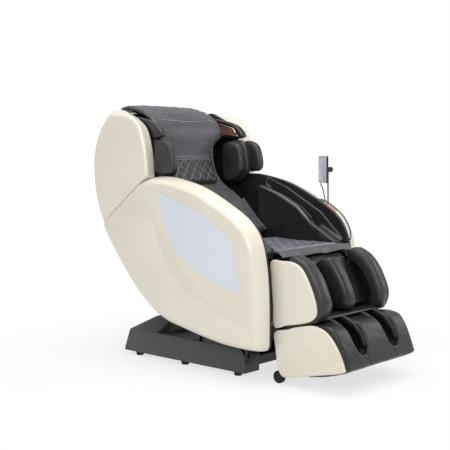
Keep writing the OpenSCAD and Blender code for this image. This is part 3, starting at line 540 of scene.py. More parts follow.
sideShell = {"inner": 300, "roll": [(300, 4), (301.5, 1.2), (305, 0), (318, 0.6), (336, 3), (350, 6.5), (361, 10.8),
                                    (369, 15.2), (374.5, 19.8), (379, 24), (382.2, 28), (384.2, 31.5), (385, 35),
                                    (385, 39)],
             "frontRoll": [4, 1.2, 0, -1, -6, -11, -15.5, -18.5, -19.5, -18.5, -15, -10, -5, 0],
             "slant": [(430, 1), (560, 0)],
             "lining": [(299.2, 8), (299.6, 3.4), (301.4, 0.2), (305, -0.9), (311, -0.8), (312.4, -0.2), (313, 2)],
             "seamAt": (333, 851), "seamDir": (0.79, -0.613), "hinge": (290, 340), "seamGap": 2.0, "seamArc": 32,
             "wall": (290, 395),
             "groove": [(276, 673), (233, 551), (162, 443), (91, 373), (-45, 322), (-176, 268), (-265, 240)],
             "grooveX": 385.3, "grooveRadius": 0.9, "pocket": (382.6, 390),
             "plate": [(382.7, 0), (384.2, 0), (384.7, 0.3), (384.85, 0.9), (384.9, 1.8), (384.9, 4)]}
lowerLoop = smoothLoop([(-315, 143), (-240, 138), (-120, 144), (10, 164), (120, 186), (233, 215), (361, 295),
                        (499, 436), (622, 598), (650, 700), (560, 790), (450, 830), (350, 853), (255, 862), (155, 851),
                        (20, 818), (-115, 758), (-235, 688), (-300, 606), (-330, 480), (-340, 330), (-340, 200),
                        (-337, 162)], 6)
upperLoop = smoothLoop([(400, 700), (560, 570), (628, 628), (680, 751), (699, 880), (691, 975), (667, 1046),
                        (630, 1106), (585, 1152), (545, 1166), (495, 1148), (430, 1116), (380, 1070), (350, 981),
                        (338, 887), (340, 780)], 7)
plateLoop = smoothLoop([(238, 790), (190, 778), (100, 752), (-30, 700), (-150, 632), (-205, 565), (-224, 480),
                        (-232, 392), (-125, 412), (10, 458), (120, 520), (190, 612), (226, 716)], 6)


def seamLine(away):                        # straight, then round the hinge
    (sy, sz), (dy, dz), (hy, hz) = sideShell["seamAt"], sideShell["seamDir"], sideShell["hinge"]
    foot = (hy - sy) * dy + (hz - sz) * dz
    fy, fz = sy + foot * dy - hy, sz + foot * dz - hz
    radius, start = sqrt(fy * fy + fz * fz), atan2(fy, fz)
    line = [(sy - away * dz - 120 * dy, sz + away * dy - 120 * dz)]
    for k in range(25):
        a = start + radians(sideShell["seamArc"]) * k / 24
        line.append((hy + (radius + away) * sin(a), hz + (radius + away) * cos(a)))
    return line


def makeSideShells():
    shell = acrossChair("leftSideShell", lowerLoop, sideShell["roll"])
    above = seamLine(-sideShell["seamGap"]) + [(800, 560), (800, 1300), (200, 1300)]
    cutBy(shell, slabAcross("cutter", above, *sideShell["wall"]))
    cutBy(shell, slabAcross("cutter", plateLoop, *sideShell["pocket"]))
    groove = smoothLine([(sideShell["grooveX"], y, z) for y, z in sideShell["groove"]], 8)
    cutBy(shell, tubeAlong("cutter", groove, sideShell["grooveRadius"], 8))
    softenEdges(shell, 0.8)
    dress(shell, creamGloss)
    fitPair(shell, "rightSideShell", "seat_unit", "cream_shell", "left_side_shell", "right_side_shell")
    plates = withTwin(acrossChair("sidePlates", drawnIn(plateLoop, 0.35), sideShell["plate"]))
    dress(plates, plateSatin)
    fit(plates, "seat_unit", "pale_panel", "side_panels")
    makeLining("sideLining", lowerLoop, above, "seat_unit")


def makeLining(name, loop, away, body):    # black upholstery over the inner wall and half the crest
    left = acrossChair(name, loop, sideShell["lining"])
    cutBy(left, slabAcross("cutter", away, *sideShell["wall"]))
    both = withTwin(left)
    dress(both, blackLeather, 50)
    fit(both, body, "black_leather")


def makeBackShells():
    rings = []                             # the front face slants inwards, the rear one doesn't
    for (x, rear), front in zip(sideShell["roll"], sideShell["frontRoll"]):
        ring = []
        for (y, z), (fy, fz) in zip(drawnIn(upperLoop, rear), drawnIn(upperLoop, front)):
            t = eased(sideShell["slant"], y)
            ring.append((x, y + t * (fy - y), z + t * (fz - z)))
        rings.append(ring)
    shell = skinRings("leftBackShell", rings)
    below = seamLine(sideShell["seamGap"]) + [(760, 500), (760, 60), (-500, 60), (-500, 1000), (200, 1000)]
    below.reverse()
    cutBy(shell, slabAcross("cutter", below, *sideShell["wall"]))
    softenEdges(shell, 0.8)
    dress(shell, creamGloss)
    fitPair(shell, "rightBackShell", "backrest", "cream_shell", "left_back_shell", "right_back_shell")
    makeLining("backLining", upperLoop, below, "backrest")


makeSideShells()
makeBackShells()
print("side shells made")

backCover = {"skirt": [(430, 402), (480, 464), (560, 562), (606, 622)], "thick": 4.0, "half": 299.7,
             "edge": [(0, -3.0), (2, -0.8), (6, 0)], "vent": (240, 60, 5), "ventRows": 7, "firstVent": (545, 548),
             "ventStep": (13, 17)}


def makeBackCover():
    rear = [q for q in drawnIn(upperLoop, 9) if q[0] > 552 and q[1] > 640]
    line = smoothLine(backCover["skirt"] + rear[::3], 3)
    half = backCover["half"]
    rings = []
    stations = [(x - half, lift) for x, lift in backCover["edge"]] + [(0, 0)] + \
        [(half - x, lift) for x, lift in reversed(backCover["edge"])]
    for x, lift in stations:
        ring = []
        for side in (0, 1):
            for i in (range(len(line)) if side == 0 else range(len(line) - 1, -1, -1)):
                a, b = line[max(i - 1, 0)], line[min(i + 1, len(line) - 1)]
                ty, tz = b[0] - a[0], b[1] - a[1]
                size = sqrt(ty * ty + tz * tz)
                d = lift if side == 0 else -backCover["thick"]
                ring.append((x, line[i][0] + d * tz / size, line[i][1] - d * ty / size))
        rings.append(ring)
    cover = skinRings("backCover", rings)
    (y, z), (dy, dz) = backCover["firstVent"], backCover["ventStep"]
    for k in range(backCover["ventRows"]):
        vent = block("vent", (0, y + dy * k, z + dz * k), backCover["vent"])
        softenEdges(vent, 2.2, steps=3)
        cutBy(cover, vent)
    softenEdges(cover, 0.6)
    dress(cover, creamGloss)
    fit(cover, "backrest", "cream_shell", "back_cover")


makeBackCover()


def refined(source, name, width, look, slot, body, dissolve=4, limit=35, steps=2):
    # a copy of the part's own solid with its edges rounded
    pickUp(frame["nodes"][source])
    bpy.ops.object.duplicate()
    ob = bpy.context.object
    ob.name = name
    ob.data.name = name
    ob.parent = None
    for key in [k for k in ob.keys() if k.startswith("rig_")]:
        del ob[key]
    openAll(ob)
    bpy.ops.mesh.remove_doubles(threshold=0.00001)
    bpy.ops.mesh.dissolve_limited(angle_limit=radians(dissolve))
    putDown()
    if width:
        softenEdges(ob, width, limit, steps)
    dress(ob, look, 35)
    fit(ob, body, slot, source)
    return ob


refined("base_cover", "baseCover", 5.0, baseGrain, "base_plastic", "base", steps=3)
refined("base_feet", "baseFeet", 2.0, wheelRubber, "rubber", "base")
refined("mains_inlet", "mainsInlet", 0.8, remoteGloss, "dark_plastic", "base")
print("base made")


# soft pads: a path in the side view, with the sitter on its left

def linePath(pad):
    return smoothLine(pad["path"], pad["fine"])


def marksAlong(path):
    marks = [0.0]
    for a, b in zip(path, path[1:]):
        marks.append(marks[-1] + sqrt((b[0] - a[0]) ** 2 + (b[1] - a[1]) ** 2))
    return marks


def padPiece(name, pad, relief=None):
    # half and face may change along the path: each is a number or a table by share of length
    value = lambda key, t: eased(pad[key], t) if isinstance(pad[key], list) else pad[key]
    x, edge, crown, step, across = pad.get("x", 0), pad["edge"], pad["crown"], pad.get("step", 5), pad.get("across", 5)
    path = linePath(pad)
    marks = marksAlong(path)
    total = marks[-1]
    at = lambda s: tuple(lookUp(list(zip(marks, [p[k] for p in path])), s) for k in (0, 1))
    endRound = pad.get("ends", edge)
    turns = [endRound * (1 - cos(pi / 2 * k / 6)) for k in range(7)]
    inner = max(2, int((total - 2 * endRound) / step))
    stops = turns + [endRound + (total - 2 * endRound) * k / inner for k in range(1, inner)] + \
        [total - t for t in reversed(turns)]
    rings, spread = [], []
    for s in stops:
        t = s / total
        hw, top = value("half", t), value("face", t)
        y, z = at(s)
        y0, z0 = at(max(s - 4, 0))
        y1, z1 = at(min(s + 4, total))
        size = sqrt((y1 - y0) ** 2 + (z1 - z0) ** 2)
        ny, nz = -(z1 - z0) / size, (y1 - y0) / size
        g = roundedEdge(min(s, total - s), endRound)
        pull = (1 - g) * edge * 0.5
        w = hw - pull
        n = max(4, int((2 * value("half", 0.5) - 2 * edge) / across))
        us = [w - edge * (1 - cos(pi / 2 * k / 5)) for k in range(6)] + \
            [(w - edge) * (1 - 2 * k / n) for k in range(1, n)] + \
            [-w + edge * (1 - cos(pi / 2 * k / 5)) for k in range(5, -1, -1)]
        ring, flat = [], []
        for u in us:
            e = roundedEdge(w - abs(u), edge)
            h = top * e * g + crown * (1 - (u / w) ** 2) * g * e
            if relief:
                h += e * g * relief(u, s)
            ring.append((x + u, y + ny * h, z + nz * h))
            flat.append((u / 1000, s / 1000))
        for u, d in ((-w, 0.5), (-w + 2, 0.9), (-w + 6, 1.0), (0, 1.0), (w - 6, 1.0), (w - 2, 0.9), (w, 0.5)):
            h = -pad["back"] * d * (0.3 + 0.7 * g)
            ring.append((x + u, y + ny * h, z + nz * h))
            flat.append((u / 1000, s / 1000))
        rings.append(ring)
        spread.append(flat)
    return skinRings(name, rings, spread=spread)


def wrinkle(u, s, size, depth, seed=0.0, stretch=1.0):
    return depth * noise.fractal(Vector((u / size + seed, s * stretch / size, seed)), 0.6, 2.0, 4)


def crease(distance, width, depth):        # a sewn or pressed line
    return -depth * exp(-(distance / width) ** 2)


def puffed(u, s, cell, depth):             # diamond quilting, low along its lines
    a = abs(sin(pi * (u / cell[0] + s / cell[1])) * sin(pi * (u / cell[0] - s / cell[1])))
    return depth * (a ** 0.4 - 1)


def softened(ob):
    pickUp(ob)
    smooth = ob.modifiers.new("smooth", "SUBSURF")
    smooth.levels = 1
    smooth.render_levels = 1


def upholstered(name, pad, look, relief):
    piece = padPiece(name, pad, relief)
    dress(piece, look, 180)
    softened(piece)
    return piece


def onPath(path, x, lift):                 # a line beside a pad, lifted off its path
    out = []
    for i, p in enumerate(path):
        a, b = path[max(i - 1, 0)], path[min(i + 1, len(path) - 1)]
        ty, tz = b[0] - a[0], b[1] - a[1]
        size = sqrt(ty * ty + tz * tz)
        out.append((x, p[0] - lift * tz / size, p[1] + lift * ty / size))
    return out


def pipedBy(pad, *lines, radius=1.8, tips=0.3):
    for line in lines:
        piping = tubeAlong("piping", line, radius, 8, tips, tips)
        dress(piping, threadLight, 80)
        pad = joined(pad, piping)
    return pad


def spotOn(path, s, lift):                 # y and z at a length along a path, lifted off it
    for a, b in zip(path, path[1:]):
        ty, tz = b[0] - a[0], b[1] - a[1]
        size = sqrt(ty * ty + tz * tz)
        if s <= size:
            return a[0] + ty * s / size - lift * tz / size, a[1] + tz * s / size + lift * ty / size
        s -= size
    return path[-1]


seatMat = {"path": [(-306, 549), (-270, 547), (-190, 546), (-110, 546), (-30, 547), (50, 552)], "fine": 6,
           "half": 219, "face": 13, "back": 6, "edge": 9, "crown": 2.0, "cell": (62, 60), "puff": 9.5, "seam": 24,
           "sideSeam": 196, "quilted": [(0, 0), (18, 0), (34, 1), (330, 1), (350, 0)], "plain": 0.2}
seatCushion = {"path": [(-276, 506), (-150, 506), (0, 506), (110, 506)], "fine": 4, "half": 219, "face": 32,
               "back": 27, "edge": 16, "crown": 1.5, "step": 9, "across": 10}


def makeSeatMat():
    def relief(u, s):
        puff = eased(seatMat["quilted"], s) * puffed(u, s, seatMat["cell"], seatMat["puff"])
        low = crease(s - seatMat["seam"], 3, 3) + crease(abs(u) - seatMat["sideSeam"], 3, 2.5)
        return puff * (1 if abs(u) < seatMat["sideSeam"] else seatMat["plain"]) + low + wrinkle(u, s, 60, 1.6, 3.0)
    mat = upholstered("seatMat", seatMat, quiltSeat, relief)
    fit(mat, "seat_unit", "grey_leather", "seat_mat")
    cushion = upholstered("seatCushion", seatCushion, blackLeather, lambda u, s: wrinkle(u, s, 90, 1.2))
    fit(cushion, "seat_unit", "black_leather", "seat_cushion")


matHem = {"half": 262, "front": -306.3, "top": 553, "rows": 14, "columns": 64, "flat": 0.72, "reach": 40, "rise": 3.5,
          "curl": 20, "droop": 24, "droopFrom": 0.55, "wave": 9, "waves": 60 * 16 / 360, "cloth": 2.4, "piping": 1.6}


def makeHem():                             # it lies out flat, then curls down, with waves that grow to its free edge
    half, flat, count = matHem["half"], matHem["flat"], matHem["columns"]
    rows = []
    for k in range(matHem["rows"] + 1):
        t = k / matHem["rows"]
        past, low = max(0, (t - flat) / (1 - flat)), max(0, (t - matHem["droopFrom"]) / (1 - matHem["droopFrom"]))
        row = []
        for i in range(count + 1):
            wave = matHem["wave"] * sin(radians(30 + 360 * matHem["waves"] * i / count)) * t
            y = matHem["front"] - matHem["reach"] * min(t / flat, 1) - (matHem["curl"] + wave) * past ** 1.2
            z = matHem["top"] + matHem["rise"] * sin(pi * min(t, flat) / flat * 0.5) + wave * 0.5 \
                - matHem["droop"] * low ** 1.6
            row.append((-half + 2 * half * i / count, y, z))
        rows.append(row)
    hem = skinRings("matHem", rows, closed=False, capped=False)
    reshaped(hem, "SOLIDIFY", thickness=matHem["cloth"] / 1000, offset=0)
    edge = tubeAlong("hemPiping", rows[-1], matHem["piping"], 8)
    dress(edge, blackLeather, 60)
    dress(hem, greyLeather, 60)
    hem = joined(hem, edge)
    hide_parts("seat_flap")
    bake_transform(hem)


makeSeatMat()
makeHem()
print("seat made")

armLiner = {"rim": [(-300, 560), (-285, 577), (-165, 690), (40, 803), (165, 850), (175, 852)],
            "lip": [(-300, 556), (-240, 590), (-146, 645), (-68, 714), (32, 766), (135, 803), (175, 815)],
            "deep": [(-300, 0), (-180, 0), (-140, 26), (110, 30), (150, 0), (175, 0)],
            "outer": 299.7, "seatSide": 220, "bottom": 515, "seat": 560, "from": -292.0, "to": 168.1, "step": 6}
armLip = {"from": 128, "to": -148, "x": 234, "wide": (4.5, 12.5), "high": (3, 6.5), "rings": 30}
airStrip = {"x": 281.5, "from": -122, "to": 102, "lift": 14, "radius": 4.2}


def makeArmLiner():
    o, s, seat = armLiner["outer"], armLiner["seatSide"], armLiner["seat"]
    rings = []
    y = armLiner["from"]
    while y <= armLiner["to"]:
        rim, lip, deep = lookUp(armLiner["rim"], y), lookUp(armLiner["lip"], y), eased(armLiner["deep"], y)
        floor = lip - deep
        shape = [(o, rim - 7), (o - 1.2, rim - 2), (o - 5, rim), (o - 9, rim - 2.5), (o - 11.5, rim - 9),
                 (o - 13, (rim + floor) / 2), (o - 16, floor + 5), (o - 24, floor - 1), (s + 36, floor - 2),
                 (s + 30, lip - deep * 0.7), (s + 26, lip - deep * 0.2 - 2), (s + 20, lip), (s + 13, lip - 0.8),
                 (s + 7, lip - 6), (s + 4, lip - 18), (s + 2.5, seat + (lip - seat) * 0.55),
                 (s + 1, seat + (lip - seat) * 0.25), (s + 0.3, 540), (s + 0.3, armLiner["bottom"])]
        ring = [(o, y, armLiner["bottom"]), (o, y, (armLiner["bottom"] + rim) / 2)]
        for x, z in smoothLine(shape, 4):
            bulge = wrinkle(z, y, 70, 1.5, 5.0) if x < s + 12 and z < lip - 20 else 0
            ring.append((min(x + bulge, o), y, z))
        rings.append(ring)
        y += armLiner["step"]
    liner = skinRings("leftArmLiner", rings)
    dress(liner, blackLeather, 80)
    liner = joined(liner, makeArmLip())
    softened(liner)
    fitPair(liner, "rightArmLiner", "seat_unit", "black_leather", "left_arm_liner", "right_arm_liner")
    strips = []
    for side in (-1, 1):
        path = []
        for k in range(25):
            y = airStrip["from"] + (airStrip["to"] - airStrip["from"]) * k / 24
            z = lookUp(armLiner["lip"], y) - lookUp(armLiner["deep"], y) + airStrip["lift"]
            path.append((side * airStrip["x"], y, z))
        strips.append(tubeAlong("armAirStrips", path, airStrip["radius"], 12, 0.3, 0.3))
    strips = joined(*strips)
    dress(strips, airFilm, 80)
    fit(strips, "seat_unit", "airbag_film", "arm_airbags")


def makeArmLip():                          # the soft edge of the forearm trough, coloured paler as a painted highlight on the black leather, fuller to the front
    rings = []
    for k in range(armLip["rings"] + 1):
        t = k / armLip["rings"]
        y = armLip["from"] + (armLip["to"] - armLip["from"]) * t
        z = lookUp(armLiner["lip"], y) - 1.5
        tip = min(1, 6 * t, 7 * (1 - t) + 0.1)
        wide, high = ((a + (b - a) * t) * tip + 0.2 for a, b in (armLip["wide"], armLip["high"]))
        turns = [2 * pi * n / 14 for n in range(14)]
        rings.append([(armLip["x"] + wide * cos(a), y, z + high * sin(a)) for a in turns])
    lip = skinRings("armLip", rings)
    dress(lip, armLipPaintedHighlight, 80)
    return lip


makeArmLiner()
print("arms made")

backLiner = {"path": [(262, 722), (290, 748), (348, 783), (405, 824), (437, 876), (452, 935), (452, 1000), (455, 1066)],
             "fine": 5, "half": [(0, 212), (0.4, 208), (1, 200)], "face": 16, "back": 13.6, "edge": 14, "crown": 0,
             "folds": [(96, 0.08, 9, 7), (150, -0.06, 8, 5)], "fade": [(150, 1), (205, 0.15)]}
lumbar = {"path": [(112, 588), (162, 634), (218, 690), (258, 734)], "fine": 5, "half": 219.6, "face": 22, "back": 19.6,
          "edge": 16, "crown": 3, "folds": [(62, 0.07, 9, 6), (134, -0.05, 8, 5)], "fade": [(150, 1), (208, 0.1)]}


def foldsOf(pad, u, s):                    # slanted folds, as place, slant, width and depth, fading to the sides
    deep = sum(crease(s - place - slant * u, width, depth) for place, slant, width, depth in pad["folds"])
    return eased(pad["fade"], abs(u)) * deep


def makeLiner():
    path = linePath(backLiner)
    liner = upholstered("backLiner", backLiner, greyLeather,
                        lambda u, s: foldsOf(backLiner, u, s) + wrinkle(u, s, 80, 2.6, 9.0, 1.6))
    edges = [[(side * (eased(backLiner["half"], i / (len(path) - 1)) - 3), *p[1:])
              for i, p in enumerate(onPath(path, 0, 10))] for side in (-1, 1)]
    liner = pipedBy(liner, *edges, tips=1.0)
    fit(liner, "backrest", "grey_leather", "back_liner")


def makeLumbar():
    pad = upholstered("lumbarPad", lumbar, greyLeather,
                      lambda u, s: foldsOf(lumbar, u, s) + wrinkle(u, s, 70, 2.6, 21.0, 1.5))
    pad = pipedBy(pad, *[onPath(linePath(lumbar), side * 212, 15) for side in (-1, 1)], tips=1.0)
    fit(pad, "seat_unit", "grey_leather", "lumbar_pad")


makeLiner()
makeLumbar()

headPillow = {"path": [(366, 821), (394, 873), (411, 932), (412, 1000), (415, 1064), (440, 1116), (506, 1156),
                       (592, 1180), (668, 1178)], "fine": 6, "step": 4.5, "across": 4.5,
              "half": [(0, 150), (0.25, 152), (0.33, 160), (0.37, 175), (0.395, 205), (0.415, 220), (0.45, 226),
                       (0.75, 224), (1, 216)],
              "face": [(0, 17), (0.2, 17), (0.26, 13), (0.5, 14), (0.56, 10), (1, 9)], "back": 9.6, "edge": 13,
              "crown": 5, "quilted": [(0, 1), (104, 1), (122, 0)], "flap": [(290, 0), (320, 1)],
              "seam": 120, "flapSeam": 300, "flapBow": 0.0004, "cell": (57, 62), "puff": 6, "piping": 1.5}


def makePillow():
    flapLine = lambda u: headPillow["flapSeam"] + headPillow["flapBow"] * u * u

    def relief(u, s):
        sewn = eased(headPillow["quilted"], s)
        streak = wrinkle(u * 0.55 + s * 0.35, s, 34, 3.2, 2.0, 0.7) * eased(headPillow["flap"], s)
        return (sewn * puffed(u, s, headPillow["cell"], headPillow["puff"]) + crease(s - headPillow["seam"], 3.5, 5)
                + crease(s - flapLine(u), 3.5, 4) + streak + wrinkle(u, s, 90, 1.2, 7.0) * (1 - sewn))
    pillow = upholstered("headPillow", headPillow, quiltPillow, relief)
    path = linePath(headPillow)
    total = marksAlong(path)[-1]
    bowed = lambda u, half: 5 * (1 - (u / half) ** 2)          # the lines follow the crown
    lines = [[(u, *spotOn(path, headPillow["seam"], 15.5 + bowed(u, 150))) for u in range(-138, 139, 12)],
             [(u, *spotOn(path, flapLine(u), 10.5 + bowed(u, 215))) for u in range(-200, 201, 16)]]
    for side in (-1, 1):
        lines.append([(side * (eased(headPillow["half"], s / total) - 4), *spotOn(path, s, 9))
                      for s in range(130, 242, 6)])
    pillow = pipedBy(pillow, *lines, radius=headPillow["piping"])
    fit(pillow, "backrest", "grey_leather", "head_pillow")


makePillow()

crownFill = {"outline": [(560, 1090), (560, 1152), (600, 1168), (650, 1166), (672, 1150), (672, 1090)], "half": 258}


def makeCrownFill():                       # black top between the shells, under the pillow's flap
    fill = slabAcross("crownFill", smoothLoop(crownFill["outline"], 4), -crownFill["half"], crownFill["half"])
    softenEdges(fill, 6, 30, 3)
    dress(fill, blackLeather, 50)
    fit(fill, "backrest", "black_leather")


makeCrownFill()

headWing = {"outline": [(304, 1042), (340, 1035), (420, 1034), (500, 1034), (540, 1048), (558, 1096), (552, 1136),
                        (528, 1140), (460, 1132), (390, 1116), (346, 1100), (318, 1078), (302, 1056)],
            "roll": [(299.7, 3), (297, 1), (292, 0), (278, 0.4), (272, 1.6), (268, 3.4), (265.5, 5.4), (264, 7.4),
                     (263.9, 9)],
            "speaker": [(328, 1047), (478, 1049), (502, 1117), (437, 1109), (360, 1089)],
            "opening": (255, 274), "frame": (262, 273.6), "hollow": (255, 266), "rim": 7, "net": (264.6, 266.2)}


def makeHeadWings():
    speaker = headWing["speaker"]
    wing = acrossChair("leftHeadWing", smoothLoop(headWing["outline"], 7), headWing["roll"])
    cutBy(wing, slabAcross("cutter", drawnIn(speaker, -0.5), *headWing["opening"]))
    softenEdges(wing, 1.0)
    dress(wing, blackLeather)
    fitPair(wing, "rightHeadWing", "backrest", "black_leather", "left_head_wing", "right_head_wing")
    ring = slabAcross("speakerGrilles", speaker, *headWing["frame"])
    softenEdges(ring, 3.0, 30, 3)
    cutBy(ring, slabAcross("cutter", drawnIn(speaker, headWing["rim"]), *headWing["hollow"]))
    dress(ring, roseMetal, 50)
    net = slabAcross("speakerNet", drawnIn(speaker, headWing["rim"] + 0.1), *headWing["net"])
    dress(net, roseMesh, 30)
    fit(withTwin(joined(ring, net)), "backrest", "rose_metal", "speaker_grilles")


makeHeadWings()

shoulder = {"outline": [(380, 812), (404, 850), (410, 940), (402, 1008), (360, 1028), (322, 1027), (296, 1014),
                        (279, 985), (270, 945), (266, 905), (269, 878), (283, 852), (312, 830)],
            "front": [(326, 884), (330, 960), (324, 1008), (298, 1025), (262, 1020), (232, 998), (214, 958), (207, 915),
                      (211, 889), (228, 875), (290, 873)],
            "middle": (330, 920),
            "outer": [(299.7, 12), (298, 7), (295, 3.2), (290, 0.8), (284, 0), (276, 0), (270, 0.8), (265.5, 3.4),
                      (262.4, 7.5), (260.6, 13), (260.3, 20)],
            "roll": [(286, 24), (286.6, 16), (289, 8), (293, 3), (299, 0.4), (306, 0), (313, 0.6), (319, 3), (323, 7),
                     (324.8, 12), (325.2, 18)],
            "inner": [(259.8, 20), (259.4, 13), (257.4, 8), (254, 3.6), (248, 0.6), (240, 0), (232, 0.6), (226, 3.6),
                      (221.5, 8.5), (218.6, 15), (216.6, 26), (215.4, 42)],
            "slim": 0.92, "frontPiping": [(296, 886, 262), (317, 886, 262)],
            "innerPiping": [(229, 870, 300), (252, 870, 300)]}


def makeShoulders():
    (my, mz), share = shoulder["middle"], shoulder["slim"]
    wide = smoothLoop(shoulder["outline"], 6)
    slim = smoothLoop([(my + share * (y - my), mz + share * (z - mz)) for y, z in shoulder["outline"]], 6)
    front = smoothLoop(shoulder["front"], 6)
    pads = [acrossChair("leftShoulderPad", wide, shoulder["outer"]), acrossChair("innerRoll", slim, shoulder["inner"]),
            acrossChair("frontRoll", front, shoulder["roll"])]
    for loop, places in ((front, shoulder["frontPiping"]), (slim, shoulder["innerPiping"])):
        for x, low, near in places:
            line = [(x, y, z) for y, z in drawnIn(loop, 1.6) if y < near and z > low]
            pads.append(tubeAlong("piping", line, 1.5, 8, 0.3, 0.3))
    pad = joined(*pads)
    for v in pad.data.vertices:            # a soft, uneven filling
        x, y, z = (1000 * c for c in v.co)
        v.co.x -= 0.001 * wrinkle(y, z, 90, 2.4, 4.0) * (x < 240)
    dress(pad, softBlack, 60)
    fitPair(pad, "rightShoulderPad", "backrest", "black_leather", "left_shoulder_pad", "right_shoulder_pad")


makeShoulders()

backPanel = refined("back_panel", "backPanel", 3.0, blackLeather, "black_leather", "backrest", limit=50)
print("back made")

calf = {"side": [(-312, 517), (-372, 523), (-430, 520), (-478, 490), (-524, 410), (-546, 340), (-536, 300), (-491, 276),
                 (-400, 256), (-331, 243), (-322, 340), (-314, 440)],
        "roll": [(260.3, 1.5), (261.2, 0.4), (263, 0), (268, 0), (270.6, 0.7), (272.4, 2.1), (273.5, 4.0), (274, 6.6),
                 (274, 10)]}
footSide = [(-332, 218), (-400, 240), (-467, 260), (-537, 270), (-600, 248), (-650, 192), (-684, 120), (-675, 98),
            (-560, 70), (-430, 42), (-378, 36), (-352, 70), (-338, 150)]


def makePanels(name, points, body, source):
    both = withTwin(acrossChair(name, smoothLoop(points, 8), calf["roll"]))
    dress(both, creamGloss)
    fit(both, body, "cream_shell", source)


makePanels("calfPanels", calf["side"], "legrest", "calf_shells")
makePanels("footPanels", footSide, "footrest", "foot_shells")

bolster = {"path": [(-514, 288), (-539, 346), (-523, 397), (-500, 444), (-462, 488), (-420, 512), (-386, 520)],
           "fine": 6, "x": 220, "half": 39.7, "face": 30, "back": 29.6, "edge": 20, "ends": 34, "crown": 3,
           "piping": [(190, 28), (234, 31)], "piped": (4, -5)}
centreRoll = {"path": [(-484, 300), (-484, 345), (-460, 400), (-425, 455), (-385, 500)], "fine": 6, "half": 43.7,
              "face": 53, "back": 25.5, "edge": 24, "ends": 34, "crown": 4, "piping": [(-38, 44), (38, 44)],
              "piped": (4, -4)}
troughPad = {"path": [(-478, 304), (-448, 372), (-400, 452), (-367.5, 505.5)], "fine": 6, "x": 112, "half": 59.6,
             "face": 14, "back": 11.6, "edge": 12, "crown": 6}


def pipedRoll(name, pad, look, relief):
    lines = [onPath(linePath(pad), x, lift)[slice(*pad["piped"])] for x, lift in pad["piping"]]
    roll = joined(padPiece(name, pad, relief), *[tubeAlong("piping", line, 1.3, 8, 0.3, 0.3) for line in lines])
    dress(roll, look, 80)
    return roll


def makeCalfPads():
    side = pipedRoll("leftCalfBolster", bolster, softBlack,
                     lambda u, s: wrinkle(u, s, 48, 2.0, 11.0, 0.5) + crease(u - 14, 3, 3))
    fitPair(side, "rightCalfBolster", "legrest", "black_leather", "left_calf_bolster", "right_calf_bolster")
    middle = pipedRoll("centreCalfBolster", centreRoll, deepBlack, lambda u, s: wrinkle(u, s, 50, 1.8, 15.0, 0.5))
    fit(middle, "legrest", "black_leather", "centre_calf_bolster")
    pads = withTwin(padPiece("calfPads", troughPad, lambda u, s: wrinkle(u, s, 50, 2.0, 1.0)))
    dress(pads, blackLeather, 80)
    fit(pads, "legrest", "black_leather", "calf_pads")


makeCalfPads()

legFill = {"skirt": [(-345, 219), (-345, 262), (-455, 292), (-528, 298), (-540, 282), (-490, 267), (-420, 245)],
           "half": 256, "wall": [(254.5, 4), (255.5, 1), (257, 0), (260.2, 0)]}


def makeLegFill():                         # black lining inside the panels and the lip under the calf pads
    walls = withTwin(acrossChair("calfLining", drawnIn(smoothLoop(calf["side"], 6), 4), legFill["wall"]))
    skirt = slabAcross("calfLip", smoothLoop(legFill["skirt"], 4), -legFill["half"], legFill["half"])
    softenEdges(skirt, 4, 30, 3)
    both = joined(walls, skirt)
    dress(both, blackLeather, 50)
    fit(both, "legrest", "black_leather")


makeLegFill()
print("leg rest made")

boot = {"outline": [(-345, 214), (-420, 240), (-490, 262), (-560, 276), (-620, 262), (-661, 205), (-690, 130),
                    (-692, 100), (-600, 69), (-520, 54), (-470, 51), (-400, 58), (-360, 90), (-350, 150)],
        "roll": [(-260, 6), (-258, 2.4), (-253, 0.4), (-246, 0), (246, 0), (253, 0.4), (258, 2.4), (260, 6)],
        "well": 120, "wellBalls": [(-650, 182, 44), (-480, 152, 46), (-650, 420, 62), (-500, 420, 62)],
        "voxel": 5, "relaxed": 8, "ribs": (72, 168)}
wellRib = {"path": [(-655, 172), (-630, 222), (-585, 262), (-520, 282), (-455, 276)], "fine": 5, "half": 12, "face": 9,
           "back": 18, "edge": 8, "ends": 16, "crown": 2}


def makeBoot():
    body = acrossChair("footBoot", smoothLoop(boot["outline"], 5), boot["roll"])
    for side in (-1, 1):                   # each well is the hull of four balls
        balls = []
        for y, z, r in boot["wellBalls"]:
            putDown()
            bpy.ops.mesh.primitive_uv_sphere_add(segments=28, ring_count=14, radius=r / 1000,
                                                 location=mm(side * boot["well"], y, z))
            balls.append(bpy.context.object)
        cutter = joined(*balls)
        settle(cutter)
        openAll(cutter)
        bpy.ops.mesh.convex_hull()
        putDown()
        cutBy(body, cutter)
    reshaped(body, "REMESH", mode="VOXEL", voxel_size=boot["voxel"] / 1000)
    reshaped(body, "SMOOTH", iterations=boot["relaxed"], factor=0.6)
    normals = [v.normal.copy() for v in body.data.vertices]
    for v, n in zip(body.data.vertices, normals):     # toe seams and soft hollows in the skin
        x, y, z = (1000 * c for c in v.co)
        dip = crease(abs(x) - 100, 3.5, 2.6) * (y < -600 and z < 190) + wrinkle(x, z, 60, 1.2, y / 60)
        v.co += n * dip / 1000
    ribs = []
    for x in boot["ribs"]:
        ribs.append(padPiece("wellRib", dict(wellRib, x=x)))
        for edge in (-1, 1):
            ribs.append(tubeAlong("ribPiping", onPath(linePath(wellRib), x + edge * 9.5, 8)[2:-2], 1.2, 8))
    body = joined(body, withTwin(joined(*ribs)))
    dress(body, deepBlack, 180)
    fit(body, "footrest", "black_leather", "foot_boot")


makeBoot()

wheel = {"place": (245, -341, 27), "radius": 27, "wide": 18, "steps": [(7, 0), (1, -3), (8, 2)]}


